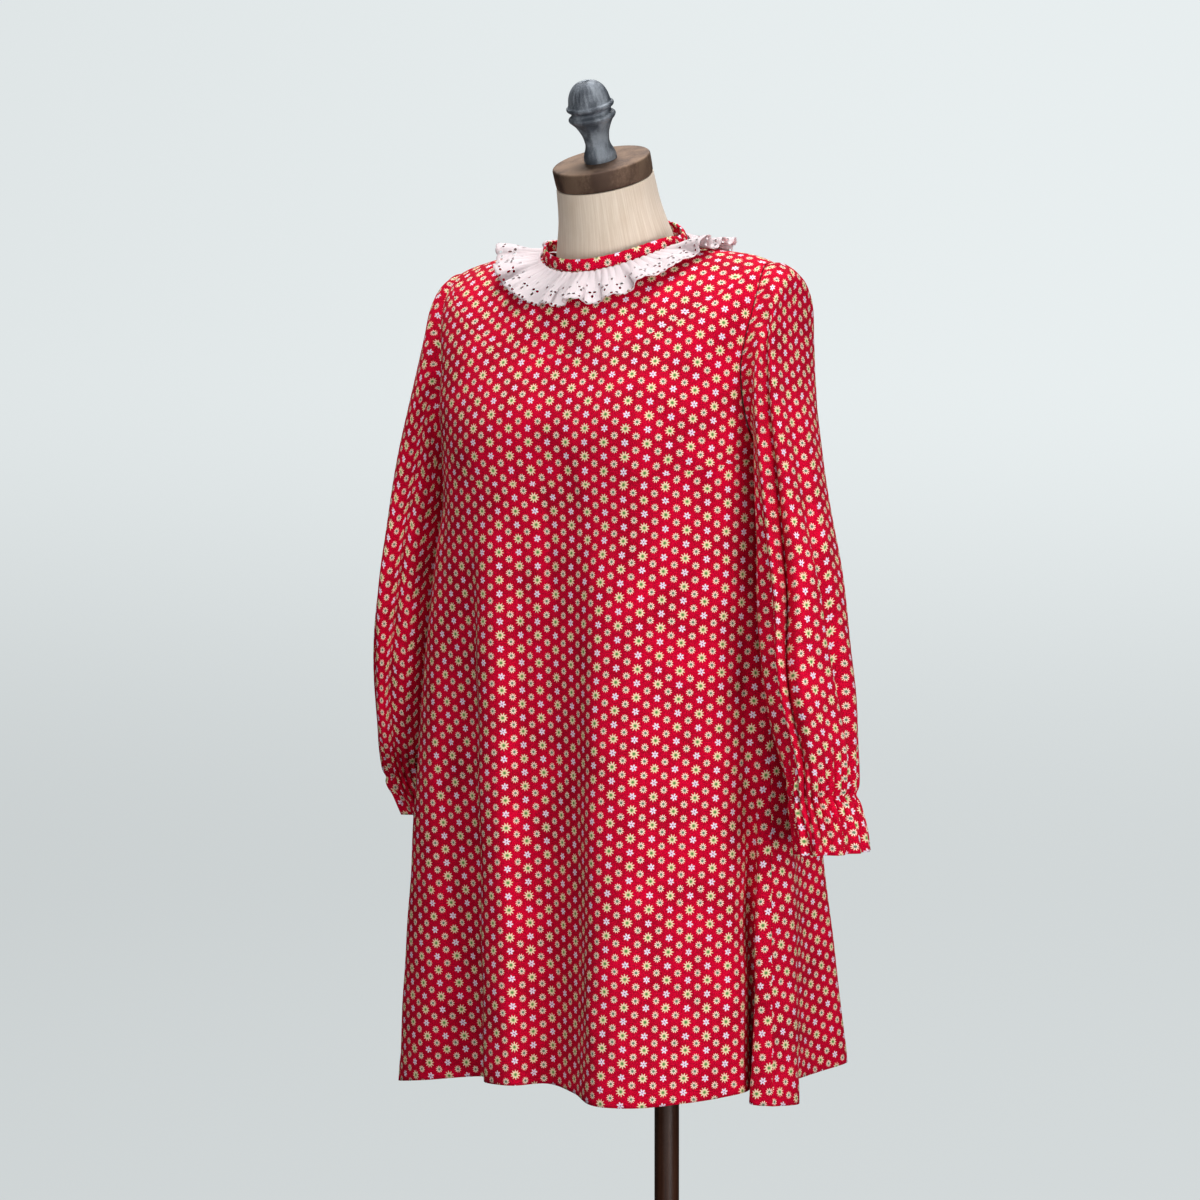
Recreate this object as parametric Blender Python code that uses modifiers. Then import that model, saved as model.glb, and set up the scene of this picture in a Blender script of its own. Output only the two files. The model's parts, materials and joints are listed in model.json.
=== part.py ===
# A tent dress with a gathered eyelet collar and full sleeves, on its dress form.
# Metres, +Z up. The floor is z = 0 and the stand's pole is the Z axis; the garment's front faces -Y,
# so the wearer's left is at +X. All cloth is a thin wall round a middle surface that is worked out
# from the tables below.
import math

import bmesh
import bpy
import numpy as np
from mathutils import Matrix, Vector

# ---- cloth ----------------------------------------------------------------------------------------
clothWall = 0.0016
eyeletWall = 0.0012
bandWall = 0.0020
seamGap = 0.0003

# ---- levels of the body, as cloth drop below the neck seam ------------------------------------------
shoulderDrop = 0.112
underarmDrop = 0.312
supportDrop = 0.360
hemDrop = 0.960
armholeSteps = 10
armholeInsetFront = 0.054
armholeInsetBack = 0.047
frontColumns = 38
backColumns = 16
backSlitLength = 0.150
backSlitGap = 0.0024

# A ring round the body at each level. The front is -Y. squareness 1 is an ellipse, less is boxier.
sectionColumns = ("drop", "halfWidth", "yFront", "ySide", "yBack", "zFront", "zSide", "zBack", "squareness")
bodySections = (
    (0.000, 0.074, -0.178, -0.104, -0.034, 1.374, 1.400, 1.424, 1.00),   # neck seam
    (0.055, 0.124, -0.201, -0.105, -0.012, 1.335, 1.396, 1.392, 0.96),   # yoke
    (0.112, 0.180, -0.216, -0.106, 0.006, 1.290, 1.382, 1.345, 0.90),    # shoulder tip
    (0.212, 0.183, -0.237, -0.107, 0.026, 1.226, 1.282, 1.252, 0.84),    # middle of the armhole
    (0.312, 0.180, -0.236, -0.107, 0.046, 1.160, 1.186, 1.157, 0.84),    # underarm
    (0.360, 0.180, -0.232, -0.106, 0.056, 1.113, 1.136, 1.109, 0.84),    # below the bust
)

# The hem seen from above, one row for each crest, valley or turn of the folds, and how far the hem
# rises there above its level. The front runs from the right side seam to the left one.
hemLevel = 0.534
hemColumns = ("x", "y", "lift")
frontHem = (
    (-0.243, -0.035, 0.000),   # right side seam
    (-0.259, -0.118, -0.005),  # crest at the right side
    (-0.213, -0.150, 0.002),
    (-0.134, -0.152, 0.012),   # valley
    (-0.091, -0.205, 0.015),
    (-0.057, -0.214, 0.016),   # crest below the right bust
    (-0.036, -0.183, 0.016),   # valley at the centre front
    (0.009, -0.201, 0.012),
    (0.055, -0.238, 0.007),    # crest below the left bust
    (0.094, -0.233, 0.007),
    (0.124, -0.200, 0.008),
    (0.138, -0.150, 0.010),
    (0.149, -0.110, 0.012),
    (0.154, -0.087, 0.012),    # deep valley below the armhole
    (0.161, -0.114, 0.010),
    (0.180, -0.148, 0.007),
    (0.202, -0.142, 0.006),    # left side seam, on its own fold
)
backHem = (
    (0.202, -0.142, 0.006),    # left side seam
    (0.212, -0.108, 0.004),
    (0.168, -0.040, 0.003),
    (0.136, 0.020, 0.003),     # valley behind the side fold
    (0.122, 0.086, 0.003),
    (0.134, 0.150, 0.010),     # crest
    (0.104, 0.176, 0.008),
    (0.064, 0.150, 0.006),     # valley
    (0.022, 0.184, 0.004),     # crest
    (-0.030, 0.172, 0.002),
    (-0.062, 0.146, 0.000),    # valley
    (-0.110, 0.176, 0.000),    # crest
    (-0.154, 0.148, -0.002),
    (-0.166, 0.104, -0.002),   # valley
    (-0.222, 0.088, -0.004),   # crest
    (-0.228, 0.028, -0.002),
    (-0.243, -0.035, 0.000),   # right side seam
)
foldBlur = 0.075         # how much of the hem's line counts as folds, and not as its broad oval
foldGrowth = 0.62        # below 1, folds start strongly below the bust
frontBow = 0.08
backBow = 0.12
# The bust's two high points and the hollow that the cloth falls into between and below them
bustColumns = ("x", "z", "out", "spreadX", "spreadZ")
bustForms = (
    (0.086, 1.212, 0.0060, 0.048, 0.046),
    (-0.086, 1.212, 0.0060, 0.048, 0.046),
    (0.000, 1.120, -0.0095, 0.050, 0.062),
)

# ---- sleeves: outer and inner line of the hanging tube, its middle and half depth front to back ------
sleeveColumns = ("xOuter", "zOuter", "xInner", "zInner", "yMiddle", "halfDepth", "foldShare", "gatherDepth",
                 "armholeShare")
leftSleeve = (
    (0.2200, 1.3800, 0.1875, 1.1760, -0.107, 0.0560, 0.10, 0.0016, 0.72),
    (0.2280, 1.3660, 0.1885, 1.1640, -0.109, 0.0660, 0.25, 0.0016, 0.50),
    (0.2200, 1.3280, 0.1900, 1.1440, -0.113, 0.0710, 0.45, 0.0006, 0.24),
    (0.2210, 1.2700, 0.1905, 1.1170, -0.118, 0.0695, 0.65, 0.0, 0.08),
    (0.2332, 1.2050, 0.1905, 1.0840, -0.123, 0.0670, 0.80, 0.0, 0.02),
    (0.2489, 1.1350, 0.1915, 1.0440, -0.129, 0.0640, 0.95, 0.0, 0.0),
    (0.2644, 1.0700, 0.1960, 1.0030, -0.134, 0.0650, 1.00, 0.0, 0.0),
    (0.2749, 1.0050, 0.2040, 0.9600, -0.139, 0.0700, 1.00, 0.0, 0.0),
    (0.2850, 0.9450, 0.2140, 0.9180, -0.143, 0.0660, 0.90, 0.0004, 0.0),
    (0.2906, 0.8960, 0.2250, 0.8830, -0.146, 0.0520, 0.55, 0.0016, 0.0),
    (0.2890, 0.8660, 0.2360, 0.8610, -0.147, 0.0480, 0.15, 0.0026, 0.0),
    (0.2885, 0.8530, 0.2365, 0.8500, -0.147, 0.0460, 0.00, 0.0024, 0.0),     # elastic
    (0.2930, 0.8400, 0.2390, 0.8380, -0.148, 0.0460, 0.00, 0.0028, 0.0),
    (0.3000, 0.8180, 0.2430, 0.8160, -0.149, 0.0450, 0.00, 0.0030, 0.0),
    (0.3030, 0.7980, 0.2460, 0.7970, -0.150, 0.0450, 0.00, 0.0030, 0.0),     # end of the frill
)
rightSleeve = (
    (0.2150, 1.3770, 0.1875, 1.1760, -0.107, 0.0540, 0.10, 0.0016, 0.72),
    (0.2200, 1.3600, 0.1890, 1.1640, -0.108, 0.0580, 0.25, 0.0016, 0.50),
    (0.2200, 1.3220, 0.1920, 1.1440, -0.110, 0.0600, 0.45, 0.0006, 0.24),
    (0.2297, 1.2650, 0.1960, 1.1170, -0.113, 0.0600, 0.65, 0.0, 0.08),
    (0.2440, 1.2000, 0.2000, 1.0840, -0.116, 0.0600, 0.80, 0.0, 0.02),
    (0.2553, 1.1320, 0.2040, 1.0440, -0.119, 0.0610, 0.95, 0.0, 0.0),
    (0.2658, 1.0680, 0.2090, 1.0010, -0.118, 0.0620, 1.00, 0.0, 0.0),
    (0.2751, 1.0040, 0.2170, 0.9570, -0.111, 0.0630, 1.00, 0.0, 0.0),
    (0.2845, 0.9420, 0.2270, 0.9150, -0.098, 0.0610, 0.90, 0.0004, 0.0),
    (0.2925, 0.8900, 0.2380, 0.8790, -0.083, 0.0520, 0.55, 0.0016, 0.0),
    (0.2950, 0.8620, 0.2500, 0.8590, -0.072, 0.0420, 0.15, 0.0026, 0.0),
    (0.2960, 0.8500, 0.2510, 0.8480, -0.067, 0.0400, 0.00, 0.0024, 0.0),     # elastic
    (0.2940, 0.8390, 0.2480, 0.8370, -0.063, 0.0410, 0.00, 0.0028, 0.0),
    (0.2870, 0.8240, 0.2430, 0.8220, -0.057, 0.0430, 0.00, 0.0030, 0.0),
    (0.2800, 0.8100, 0.2400, 0.8080, -0.051, 0.0450, 0.00, 0.0030, 0.0),     # end of the frill
)
# Valleys along a sleeve: angle from its outer line towards its front, depth and half width.
sleeveFoldColumns = ("angle", "depth", "spread")
leftSleeveFolds = ((38, 0.0140, 16), (98, 0.0110, 16), (-24, 0.0060, 16), (205, 0.0060, 16), (252, 0.0100, 16),
                   (300, 0.0085, 15))
rightSleeveFolds = ((52, 0.0070, 15), (102, 0.0130, 16), (-18, 0.0060, 16), (205, 0.0050, 16), (250, 0.0090, 16),
                    (298, 0.0090, 15))
sleeveRound = 40
gatherWaves = 10

# ---- neck --------------------------------------------------------------------------------------------
neckLean = math.radians(19)
bandHeight = 0.0125
bandLean = 0.0025
collarStart = 0.0030
collarWidth = 0.0530
collarWaves = 22
collarPointsPerWave = 6
collarRise = 0.0085
collarSlit = math.radians(2.2)
bandColumns = 44

# ---- dress form ----------------------------------------------------------------------------------------
formClearance = 0.0060
formColumns = 26
# level, half width, front, side and back of the torso below the bust
torsoColumns = ("z", "halfWidth", "yFront", "ySide", "yBack")
torsoSections = (
    (1.090, 0.146, -0.208, -0.094, 0.010),
    (1.020, 0.124, -0.172, -0.082, 0.006),     # waist
    (0.930, 0.136, -0.160, -0.072, 0.018),
    (0.850, 0.144, -0.152, -0.064, 0.028),     # hip
    (0.800, 0.138, -0.146, -0.060, 0.026),
    (0.785, 0.126, -0.134, -0.058, 0.018),
)
neckFormRadius = 0.0625
neckTopRadius = 0.0505
capLean = math.radians(22)
capCentre = Vector((0.0, -0.1270, 1.4710))
capRadius = 0.0508
capHeight = 0.0210
finialHeight = 0.0830
# height share and radius, from the top of the finial down
finialColumns = ("height", "radius")
finialProfile = (
    (1.000, 0.0060), (0.985, 0.0100), (0.930, 0.0158), (0.840, 0.0200), (0.730, 0.0218), (0.700, 0.0245),
    (0.665, 0.0238), (0.630, 0.0205), (0.600, 0.0208), (0.560, 0.0243), (0.525, 0.0236), (0.440, 0.0185),
    (0.330, 0.0142), (0.210, 0.0128), (0.130, 0.0150), (0.050, 0.0168), (0.000, 0.0168),
)
finialHoleRadius = 0.0028
finialHoleDepth = 0.012
poleRadius = 0.0130
collarNutRadius = 0.0240
collarNutHeight = 0.0300
baseRadius = 0.1950
baseThickness = 0.0140
buttonRadius = 0.0055


def column(table, columns, name):
    return np.array([row[columns.index(name)] for row in table])


def smooth(knots, values, at):
    """A smooth curve through rows of values at uneven knots, with slopes from each row's neighbours."""
    knots, values, at = np.asarray(knots, float), np.asarray(values, float), np.atleast_1d(at)
    steps = np.diff(knots)
    slopes = np.diff(values, axis=0) / steps.reshape(-1, *[1] * (values.ndim - 1))
    inner = np.zeros_like(values)
    weight = (steps[:-1] / (steps[:-1] + steps[1:])).reshape(-1, *[1] * (values.ndim - 1))
    inner[1:-1] = slopes[:-1] * (1 - weight) + slopes[1:] * weight
    inner[0], inner[-1] = slopes[0], slopes[-1]
    place = np.clip(np.searchsorted(knots, at, side="right") - 1, 0, len(steps) - 1)
    shape = (-1, *[1] * (values.ndim - 1))
    length = steps[place].reshape(shape)
    t = ((at - knots[place]) / steps[place]).reshape(shape)
    return (
        values[place] * (2 * t**3 - 3 * t**2 + 1)
        + values[place + 1] * (3 * t**2 - 2 * t**3)
        + inner[place] * length * (t**3 - 2 * t**2 + t)
        + inner[place + 1] * length * (t**3 - t**2)
    )


def bustOut(x, z):
    """How far the bust pushes the front out at a place."""
    out = np.zeros_like(x)
    for xMiddle, zMiddle, height, spreadX, spreadZ in bustForms:
        out += height * np.exp(-(((x - xMiddle) / spreadX) ** 2) - ((z - zMiddle) / spreadZ) ** 2)
    return out


def bodyRing(angle, drop):
    """Points of the body's middle surface above the skirt. Angle 0 is the front, 90 degrees the wearer's left."""
    angle = np.asarray(angle, float)
    values = np.array(bodySections)
    row = smooth(values[:, 0], values[:, 1:], np.full(angle.size, drop) if np.isscalar(drop) else drop)
    halfWidth, yFront, ySide, yBack, zFront, zSide, zBack, square = row.T
    across, along = np.sin(angle), np.cos(angle)
    x = halfWidth * np.sign(across) * np.abs(across) ** square
    reach = np.abs(along) ** square
    front = along > 0
    y = ySide + np.where(front, yFront - ySide, yBack - ySide) * reach
    z = zSide + np.where(front, zFront - zSide, zBack - zSide) * np.abs(along) ** 1.6
    return np.stack([x, y - bustOut(x, z) * front, z], axis=1)


def byLength(points, shares):
    """Points at shares of the length along a line of points."""
    along = np.concatenate([[0], np.cumsum(np.linalg.norm(np.diff(points, axis=0), axis=1))])
    return np.stack([np.interp(np.asarray(shares) * along[-1], along, points[:, k]) for k in range(3)], axis=1)


def lengthOf(points):
    return float(np.linalg.norm(np.diff(points, axis=0), axis=1).sum())


def hemLine(rows):
    """The hem as a fine line through the rows of a table, from above and with its lift."""
    rows = np.array(rows)
    knots = np.concatenate([[0], np.cumsum(np.linalg.norm(np.diff(rows[:, :2], axis=0), axis=1) ** 0.75)])
    line = smooth(knots, rows, np.linspace(0, knots[-1], 600))
    return np.column_stack([line[:, :2], hemLevel + line[:, 2]])


def blurred(points, reach):
    """A line of points smoothed over a reach in metres, with its ends kept."""
    step = lengthOf(points) / (len(points) - 1)
    half = int(3 * reach / step)
    weight = np.exp(-0.5 * (np.arange(-half, half + 1) * step / reach) ** 2)
    weight /= weight.sum()
    before = 2 * points[0] - points[half:0:-1]
    after = 2 * points[-1] - points[-2:-half - 2:-1]
    padded = np.concatenate([before, points, after])
    return np.stack([np.convolve(padded[:, k], weight, "valid") for k in range(3)], axis=1)


def panelRow(side, drop):
    """The whole row of the front or back at one drop, as a fine line from seam to seam."""
    turn = np.linspace(-math.pi / 2, math.pi / 2, 361) + (0 if side == "front" else math.pi)
    shares = np.linspace(0, 1, 361)
    if drop <= supportDrop:
        return bodyRing(turn, drop)
    top = byLength(bodyRing(turn, supportDrop), shares)
    hem = byLength(hemLine(frontHem if side == "front" else backHem), shares)
    broad = blurred(hem, foldBlur)
    w = (drop - supportDrop) / (hemDrop - supportDrop)
    bow = (frontBow if side == "front" else backBow) * math.sin(math.pi * w) * np.sin(math.pi * shares) ** 0.5
    row = top + (broad - top) * (w + bow)[:, None] + (hem - broad) * w**foldGrowth
    row[:, 1] -= bustOut(row[:, 0], top[:, 2] + (hem[:, 2] - top[:, 2]) * w) * (side == "front")
    row[:, 1] += bustOut(top[:, 0], top[:, 2]) * (side == "front") * (1 - w)
    row[:, 2] = top[:, 2] + (hem[:, 2] - top[:, 2]) * w
    return row


def armholeInset(side, drop):
    """How far the armhole's edge lies from the side line, along the row."""
    middle, half = (shoulderDrop + underarmDrop) / 2, (underarmDrop - shoulderDrop) / 2
    share = max(0.0, 1 - ((drop - middle) / half) ** 2)
    return (armholeInsetFront if side == "front" else armholeInsetBack) * math.sqrt(share)


def rowDrops():
    """The drops of the panels' rows: shoulder, armhole at even angles, and skirt."""
    middle, half = (shoulderDrop + underarmDrop) / 2, (underarmDrop - shoulderDrop) / 2
    armhole = [middle - half * math.cos(math.pi * j / armholeSteps) for j in range(armholeSteps + 1)]
    skirt = supportDrop + (hemDrop - supportDrop) * np.array([0, 0.08, 0.2, 0.36, 0.54, 0.76, 1.0])
    return np.array([0, 0.032, 0.066, *armhole, *skirt])


def panelGrid(side, columns, drops, first=0.0, last=1.0):
    """The middle surface of a panel as rows of points. first and last are shares of each row's length."""
    grid = []
    for drop in drops:
        line = panelRow(side, drop)
        inset = armholeInset(side, drop) / lengthOf(line) if shoulderDrop < drop < underarmDrop else 0.0
        low = inset if first == 0 else first
        high = 1 - inset if last == 1 else last
        grid.append(byLength(line, np.linspace(low, high, columns + 1)))
    return np.array(grid)


def gridNormals(grid, closed=False):
    """Unit normals of a grid of points, one way round."""
    down = np.gradient(grid, axis=0)
    if closed:
        across = (np.roll(grid, -1, axis=1) - np.roll(grid, 1, axis=1)) / 2
    else:
        across = np.gradient(grid, axis=1)
    normal = np.cross(down, across)
    return normal / np.maximum(np.linalg.norm(normal, axis=2, keepdims=True), 1e-12)


def wallObject(name, grid, normals, thickness, material, closed=False):
    """A closed wall of one thickness round a grid of points. A closed grid joins its last column to its first."""
    rows, columns = grid.shape[:2]
    outer = grid + normals * thickness / 2
    inner = grid - normals * thickness / 2
    points = np.concatenate([outer.reshape(-1, 3), inner.reshape(-1, 3)])
    half = rows * columns
    spans = columns if closed else columns - 1

    def at(row, col):
        return row * columns + col % columns

    # both sides of the wall are split along the same diagonals, so the wall keeps its thickness
    middle = grid.reshape(-1, 3)
    faces = []
    for row in range(rows - 1):
        for col in range(spans):
            a, b, c, d = at(row, col), at(row, col + 1), at(row + 1, col + 1), at(row + 1, col)
            if np.linalg.norm(middle[a] - middle[c]) <= np.linalg.norm(middle[b] - middle[d]):
                halves = ((a, b, c), (a, c, d))
            else:
                halves = ((a, b, d), (b, c, d))
            for three in halves:
                faces.append(three[::-1])
                faces.append(tuple(half + i for i in three))
    for col in range(spans):
        faces.append((at(0, col), at(0, col + 1), half + at(0, col + 1), half + at(0, col)))
        last = rows - 1
        faces.append((half + at(last, col), half + at(last, col + 1), at(last, col + 1), at(last, col)))
    if not closed:
        for row in range(rows - 1):
            end = columns - 1
            faces.append((half + at(row, 0), half + at(row + 1, 0), at(row + 1, 0), at(row, 0)))
            faces.append((at(row, end), at(row + 1, end), half + at(row + 1, end), half + at(row, end)))
    mesh = bpy.data.meshes.new(name)
    mesh.from_pydata(points.tolist(), [], faces)
    work = bmesh.new()
    work.from_mesh(mesh)
    bmesh.ops.recalc_face_normals(work, faces=work.faces)
    work.to_mesh(mesh)
    work.free()
    return finished(name, mesh, material)


def finished(name, mesh, material, crease=40):
    obj = bpy.data.objects.new(name, mesh)
    dress.objects.link(obj)
    mesh.materials.append(material)
    mesh.shade_smooth()
    mesh.set_sharp_from_angle(angle=math.radians(crease))
    return obj


def makeMaterial(name, colour, roughness, metallic=0.0):
    material = bpy.data.materials.new(name)
    material.use_nodes = True
    shader = material.node_tree.nodes["Principled BSDF"]
    shader.inputs["Base Color"].default_value = (*colour, 1)
    shader.inputs["Roughness"].default_value = roughness
    shader.inputs["Metallic"].default_value = metallic
    material.diffuse_color = (*colour, 1)
    return material


def pulledIn(grid, left=True, right=True, by=seamGap / 2):
    """Moves a grid's first and last columns in along their rows by half a seam's gap."""
    grid = grid.copy()
    for use, edge, inside in ((left, 0, 1), (right, -1, -2)):
        if use:
            way = grid[:, inside] - grid[:, edge]
            grid[:, edge] += by * way / np.linalg.norm(way, axis=1, keepdims=True)
    return grid


def makePanels():
    """Front and two backs. Panels that share a seam share its normals, so that their edges stay parallel."""
    drops = rowDrops()
    front = panelGrid("front", frontColumns, drops)
    backLeft = panelGrid("back", backColumns, drops, last=0.5)
    backRight = panelGrid("back", backColumns, drops, first=0.5)
    normals = [gridNormals(grid) for grid in (front, backLeft, backRight)]
    shared = ((0, -1, 1, 0), (1, -1, 2, 0), (2, -1, 0, 0))
    for one, edge, other, otherEdge in shared:
        mean = normals[one][:, edge] + normals[other][:, otherEdge]
        mean /= np.linalg.norm(mean, axis=1, keepdims=True)
        joined = np.ones(len(drops), bool)
        if {one, other} != {1, 2}:
            joined = (drops <= shoulderDrop + 1e-9) | (drops >= underarmDrop - 1e-9)
        normals[one][joined, edge] = mean[joined]
        normals[other][joined, otherEdge] = mean[joined]
    armholes = {
        "left": (front[:, -1].copy(), backLeft[:, 0].copy(), normals[0][:, -1], normals[1][:, 0]),
        "right": (front[:, 0].copy(), backRight[:, -1].copy(), normals[0][:, 0], normals[2][:, -1]),
    }
    slit = np.where(drops < backSlitLength, backSlitGap / 2, seamGap / 2).reshape(-1, 1)
    wallObject("dress_front", pulledIn(front), normals[0], clothWall, print_cloth)
    left = pulledIn(pulledIn(backLeft, right=False), left=False, by=slit)
    right = pulledIn(pulledIn(backRight, left=False), right=False, by=slit)
    wallObject("dress_back_left", left, normals[1], clothWall, print_cloth)
    wallObject("dress_back_right", right, normals[2], clothWall, print_cloth)
    return drops, armholes


def armholeLoop(side, drops, armholes):
    """The sleeve's first ring: the armhole's own points a seam's gap off, from the shoulder down the front
    and up the back. Towards the underarm, where the seam folds back, it also lies outside the panels."""
    sign = 1 if side == "left" else -1
    frontEdge, backEdge, frontNormal, backNormal = armholes[side]
    rows = [i for i, d in enumerate(drops) if shoulderDrop - 1e-9 <= d <= underarmDrop + 1e-9]
    back = rows[-2:0:-1]
    edge = np.concatenate([frontEdge[rows], backEdge[back]])
    out = np.concatenate([frontNormal[rows], backNormal[back]])
    out = out * np.sign(out[:, :1]) * sign
    along = np.roll(edge, -1, axis=0) - np.roll(edge, 1, axis=0)
    step = np.cross(along, out)
    step /= np.linalg.norm(step, axis=1, keepdims=True)
    step *= np.sign((step * (edge.mean(axis=0) - edge)).sum(axis=1, keepdims=True))
    lower = (1 - np.cos(2 * math.pi * np.arange(len(edge)) / len(edge))) / 2
    points = edge + step * (seamGap + clothWall / 2) + out * (seamGap + clothWall) * lower[:, None]
    share = sleeveRound // len(points)
    fine = [points + (np.roll(points, -1, axis=0) - points) * k / share for k in range(share)]
    return np.stack(fine, axis=1).reshape(-1, 3)


def sleeveRing(row, folds, sign, loop):
    """One ring of a sleeve: an oval with its folds and gathers pressed in along its own normal. Near the
    top it keeps a share of the armhole's own shape."""
    xOuter, zOuter, xInner, zInner, yMiddle, halfDepth, foldShare, gatherDepth, armholeShare = row
    turn = np.arange(sleeveRound) * 2 * math.pi / sleeveRound
    outer = np.array([xOuter, yMiddle, zOuter])
    inner = np.array([xInner, yMiddle, zInner])
    middle, arm = (outer + inner) / 2, (outer - inner) / 2
    back = np.array([0, 1.0, 0])
    ring = middle + np.outer(np.cos(turn), arm) - np.outer(np.sin(turn) * halfDepth, back)
    reach = np.linalg.norm(arm)
    way = np.outer(np.cos(turn) / reach, arm / reach) - np.outer(np.sin(turn) / halfDepth, back)
    way /= np.linalg.norm(way, axis=1, keepdims=True)
    move = np.zeros(sleeveRound)
    for angle, depth, spread in folds:
        away = (np.degrees(turn) - angle + 180) % 360 - 180
        narrow = min(1.0, reach / 0.03)
        move -= foldShare * narrow * depth * np.exp(-((away / spread) ** 2))
    move += gatherDepth * np.cos(gatherWaves * turn)
    ring = (ring + way * move[:, None]) * np.array([sign, 1, 1])
    return ring * (1 - armholeShare) + loop * armholeShare


def makeSleeve(side, drops, armholes):
    sign = 1 if side == "left" else -1
    table = leftSleeve if side == "left" else rightSleeve
    folds = leftSleeveFolds if side == "left" else rightSleeveFolds
    loop = armholeLoop(side, drops, armholes)
    grid = np.array([loop] + [sleeveRing(row, folds, sign, loop) for row in table])
    normals = gridNormals(grid, closed=True)
    outward = grid - grid.mean(axis=1, keepdims=True)
    if (normals[5] * outward[5]).sum() < 0:
        normals = -normals
    wallObject("sleeve_" + side, grid, normals, clothWall, print_cloth, closed=True)


def neckNormal():
    return np.array([0, -math.sin(neckLean), math.cos(neckLean)])


def makeBand():
    """The bias strip that stands up at the neck, open at the centre back."""
    turn = np.linspace(-math.pi + collarSlit / 2, math.pi - collarSlit / 2, bandColumns + 1)
    seam = bodyRing(turn, 0.0)
    middle = seam.mean(axis=0)
    inwards = middle - seam
    inwards /= np.linalg.norm(inwards, axis=1, keepdims=True)
    first = clothWall / 2 + seamGap + 0.0002
    levels = (first, bandHeight * 0.55, bandHeight)
    grid = np.array([seam + neckNormal() * h + inwards * bandLean * (h / bandHeight) for h in levels])
    normals = gridNormals(grid)
    if (normals[0] * inwards).sum() > 0:
        normals = -normals
    wallObject("neckband", grid, normals, bandWall, print_cloth)


def surfaceNormal(angle, drop):
    """Outward normals of the body's middle surface."""
    step = 0.0005
    down = bodyRing(angle, drop + step) - bodyRing(angle, np.maximum(drop - step, 0))
    across = bodyRing(angle + 0.002, drop) - bodyRing(angle - 0.002, drop)
    normal = np.cross(across, down)
    normal /= np.linalg.norm(normal, axis=1, keepdims=True)
    outward = bodyRing(angle, drop) - np.array([0, -0.105, 1.2])
    return normal * np.sign((normal * outward).sum(axis=1, keepdims=True))


def makeCollar():
    """The eyelet frill: the body's own points moved out, raised in waves that grow towards its edge."""
    columns = collarWaves * collarPointsPerWave
    turn = np.linspace(-math.pi + collarSlit, math.pi - collarSlit, columns + 1)
    wave = (1 - np.cos(collarWaves * (turn + math.pi))) / 2
    uneven = 1 + 0.25 * np.sin(3 * turn + 0.6)
    grid = []
    for share in (0.0, 0.3, 0.65, 1.0):
        drop = np.full(turn.size, collarStart + collarWidth * share)
        base = clothWall / 2 + seamGap + eyeletWall / 2 + 0.0006 + 0.0012 * share
        rise = base + (0.0008 + collarRise * share**1.2) * wave * uneven
        grid.append(bodyRing(turn, drop) + surfaceNormal(turn, drop) * rise[:, None])
    grid = np.array(grid)
    normals = gridNormals(grid)
    if (normals[1] * surfaceNormal(turn, np.full(turn.size, 0.02))).sum() < 0:
        normals = -normals
    wallObject("collar_ruffle", grid, normals, eyeletWall, eyelet)


def makeButton():
    """The one button at the centre back of the neckband."""
    seam = bodyRing(np.array([math.pi]), 0.0)[0]
    place = Vector(seam + neckNormal() * bandHeight * 0.62)
    out = Vector((0, math.cos(neckLean), math.sin(neckLean)))
    place += out * (bandWall / 2 + 0.0004 + 0.0013 + 0.0008)
    bpy.ops.mesh.primitive_cylinder_add(vertices=20, radius=buttonRadius, depth=0.0026)
    adopt("neck_button", pearl, place, out)


def adopt(name, material, place, axis, smoothAngle=40):
    """Takes the new primitive in: named, placed with its own Z along axis, and in the dress's collection."""
    obj = bpy.context.active_object
    obj.name = obj.data.name = name
    for holder in list(obj.users_collection):
        holder.objects.unlink(obj)
    dress.objects.link(obj)
    obj.matrix_world = Matrix.Translation(place) @ Vector(axis).to_track_quat("Z", "Y").to_matrix().to_4x4()
    obj.data.materials.append(material)
    obj.data.shade_smooth()
    obj.data.set_sharp_from_angle(angle=math.radians(smoothAngle))
    return obj


def turned(name, profile, material, steps=32):
    """A turned shape from a profile that runs down its outer side, as (radius, height) rows."""
    mesh = bpy.data.meshes.new(name)
    edges = [(i, i + 1) for i in range(len(profile) - 1)]
    mesh.from_pydata([(r, 0, z) for r, z in profile], edges, [])
    obj = bpy.data.objects.new(name, mesh)
    dress.objects.link(obj)
    mesh.materials.append(material)
    screw = obj.modifiers.new("turn", "SCREW")
    screw.steps = screw.render_steps = steps
    screw.use_merge_vertices = True
    screw.merge_threshold = 0.00001
    screw.use_smooth_shade = True
    return obj


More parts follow.
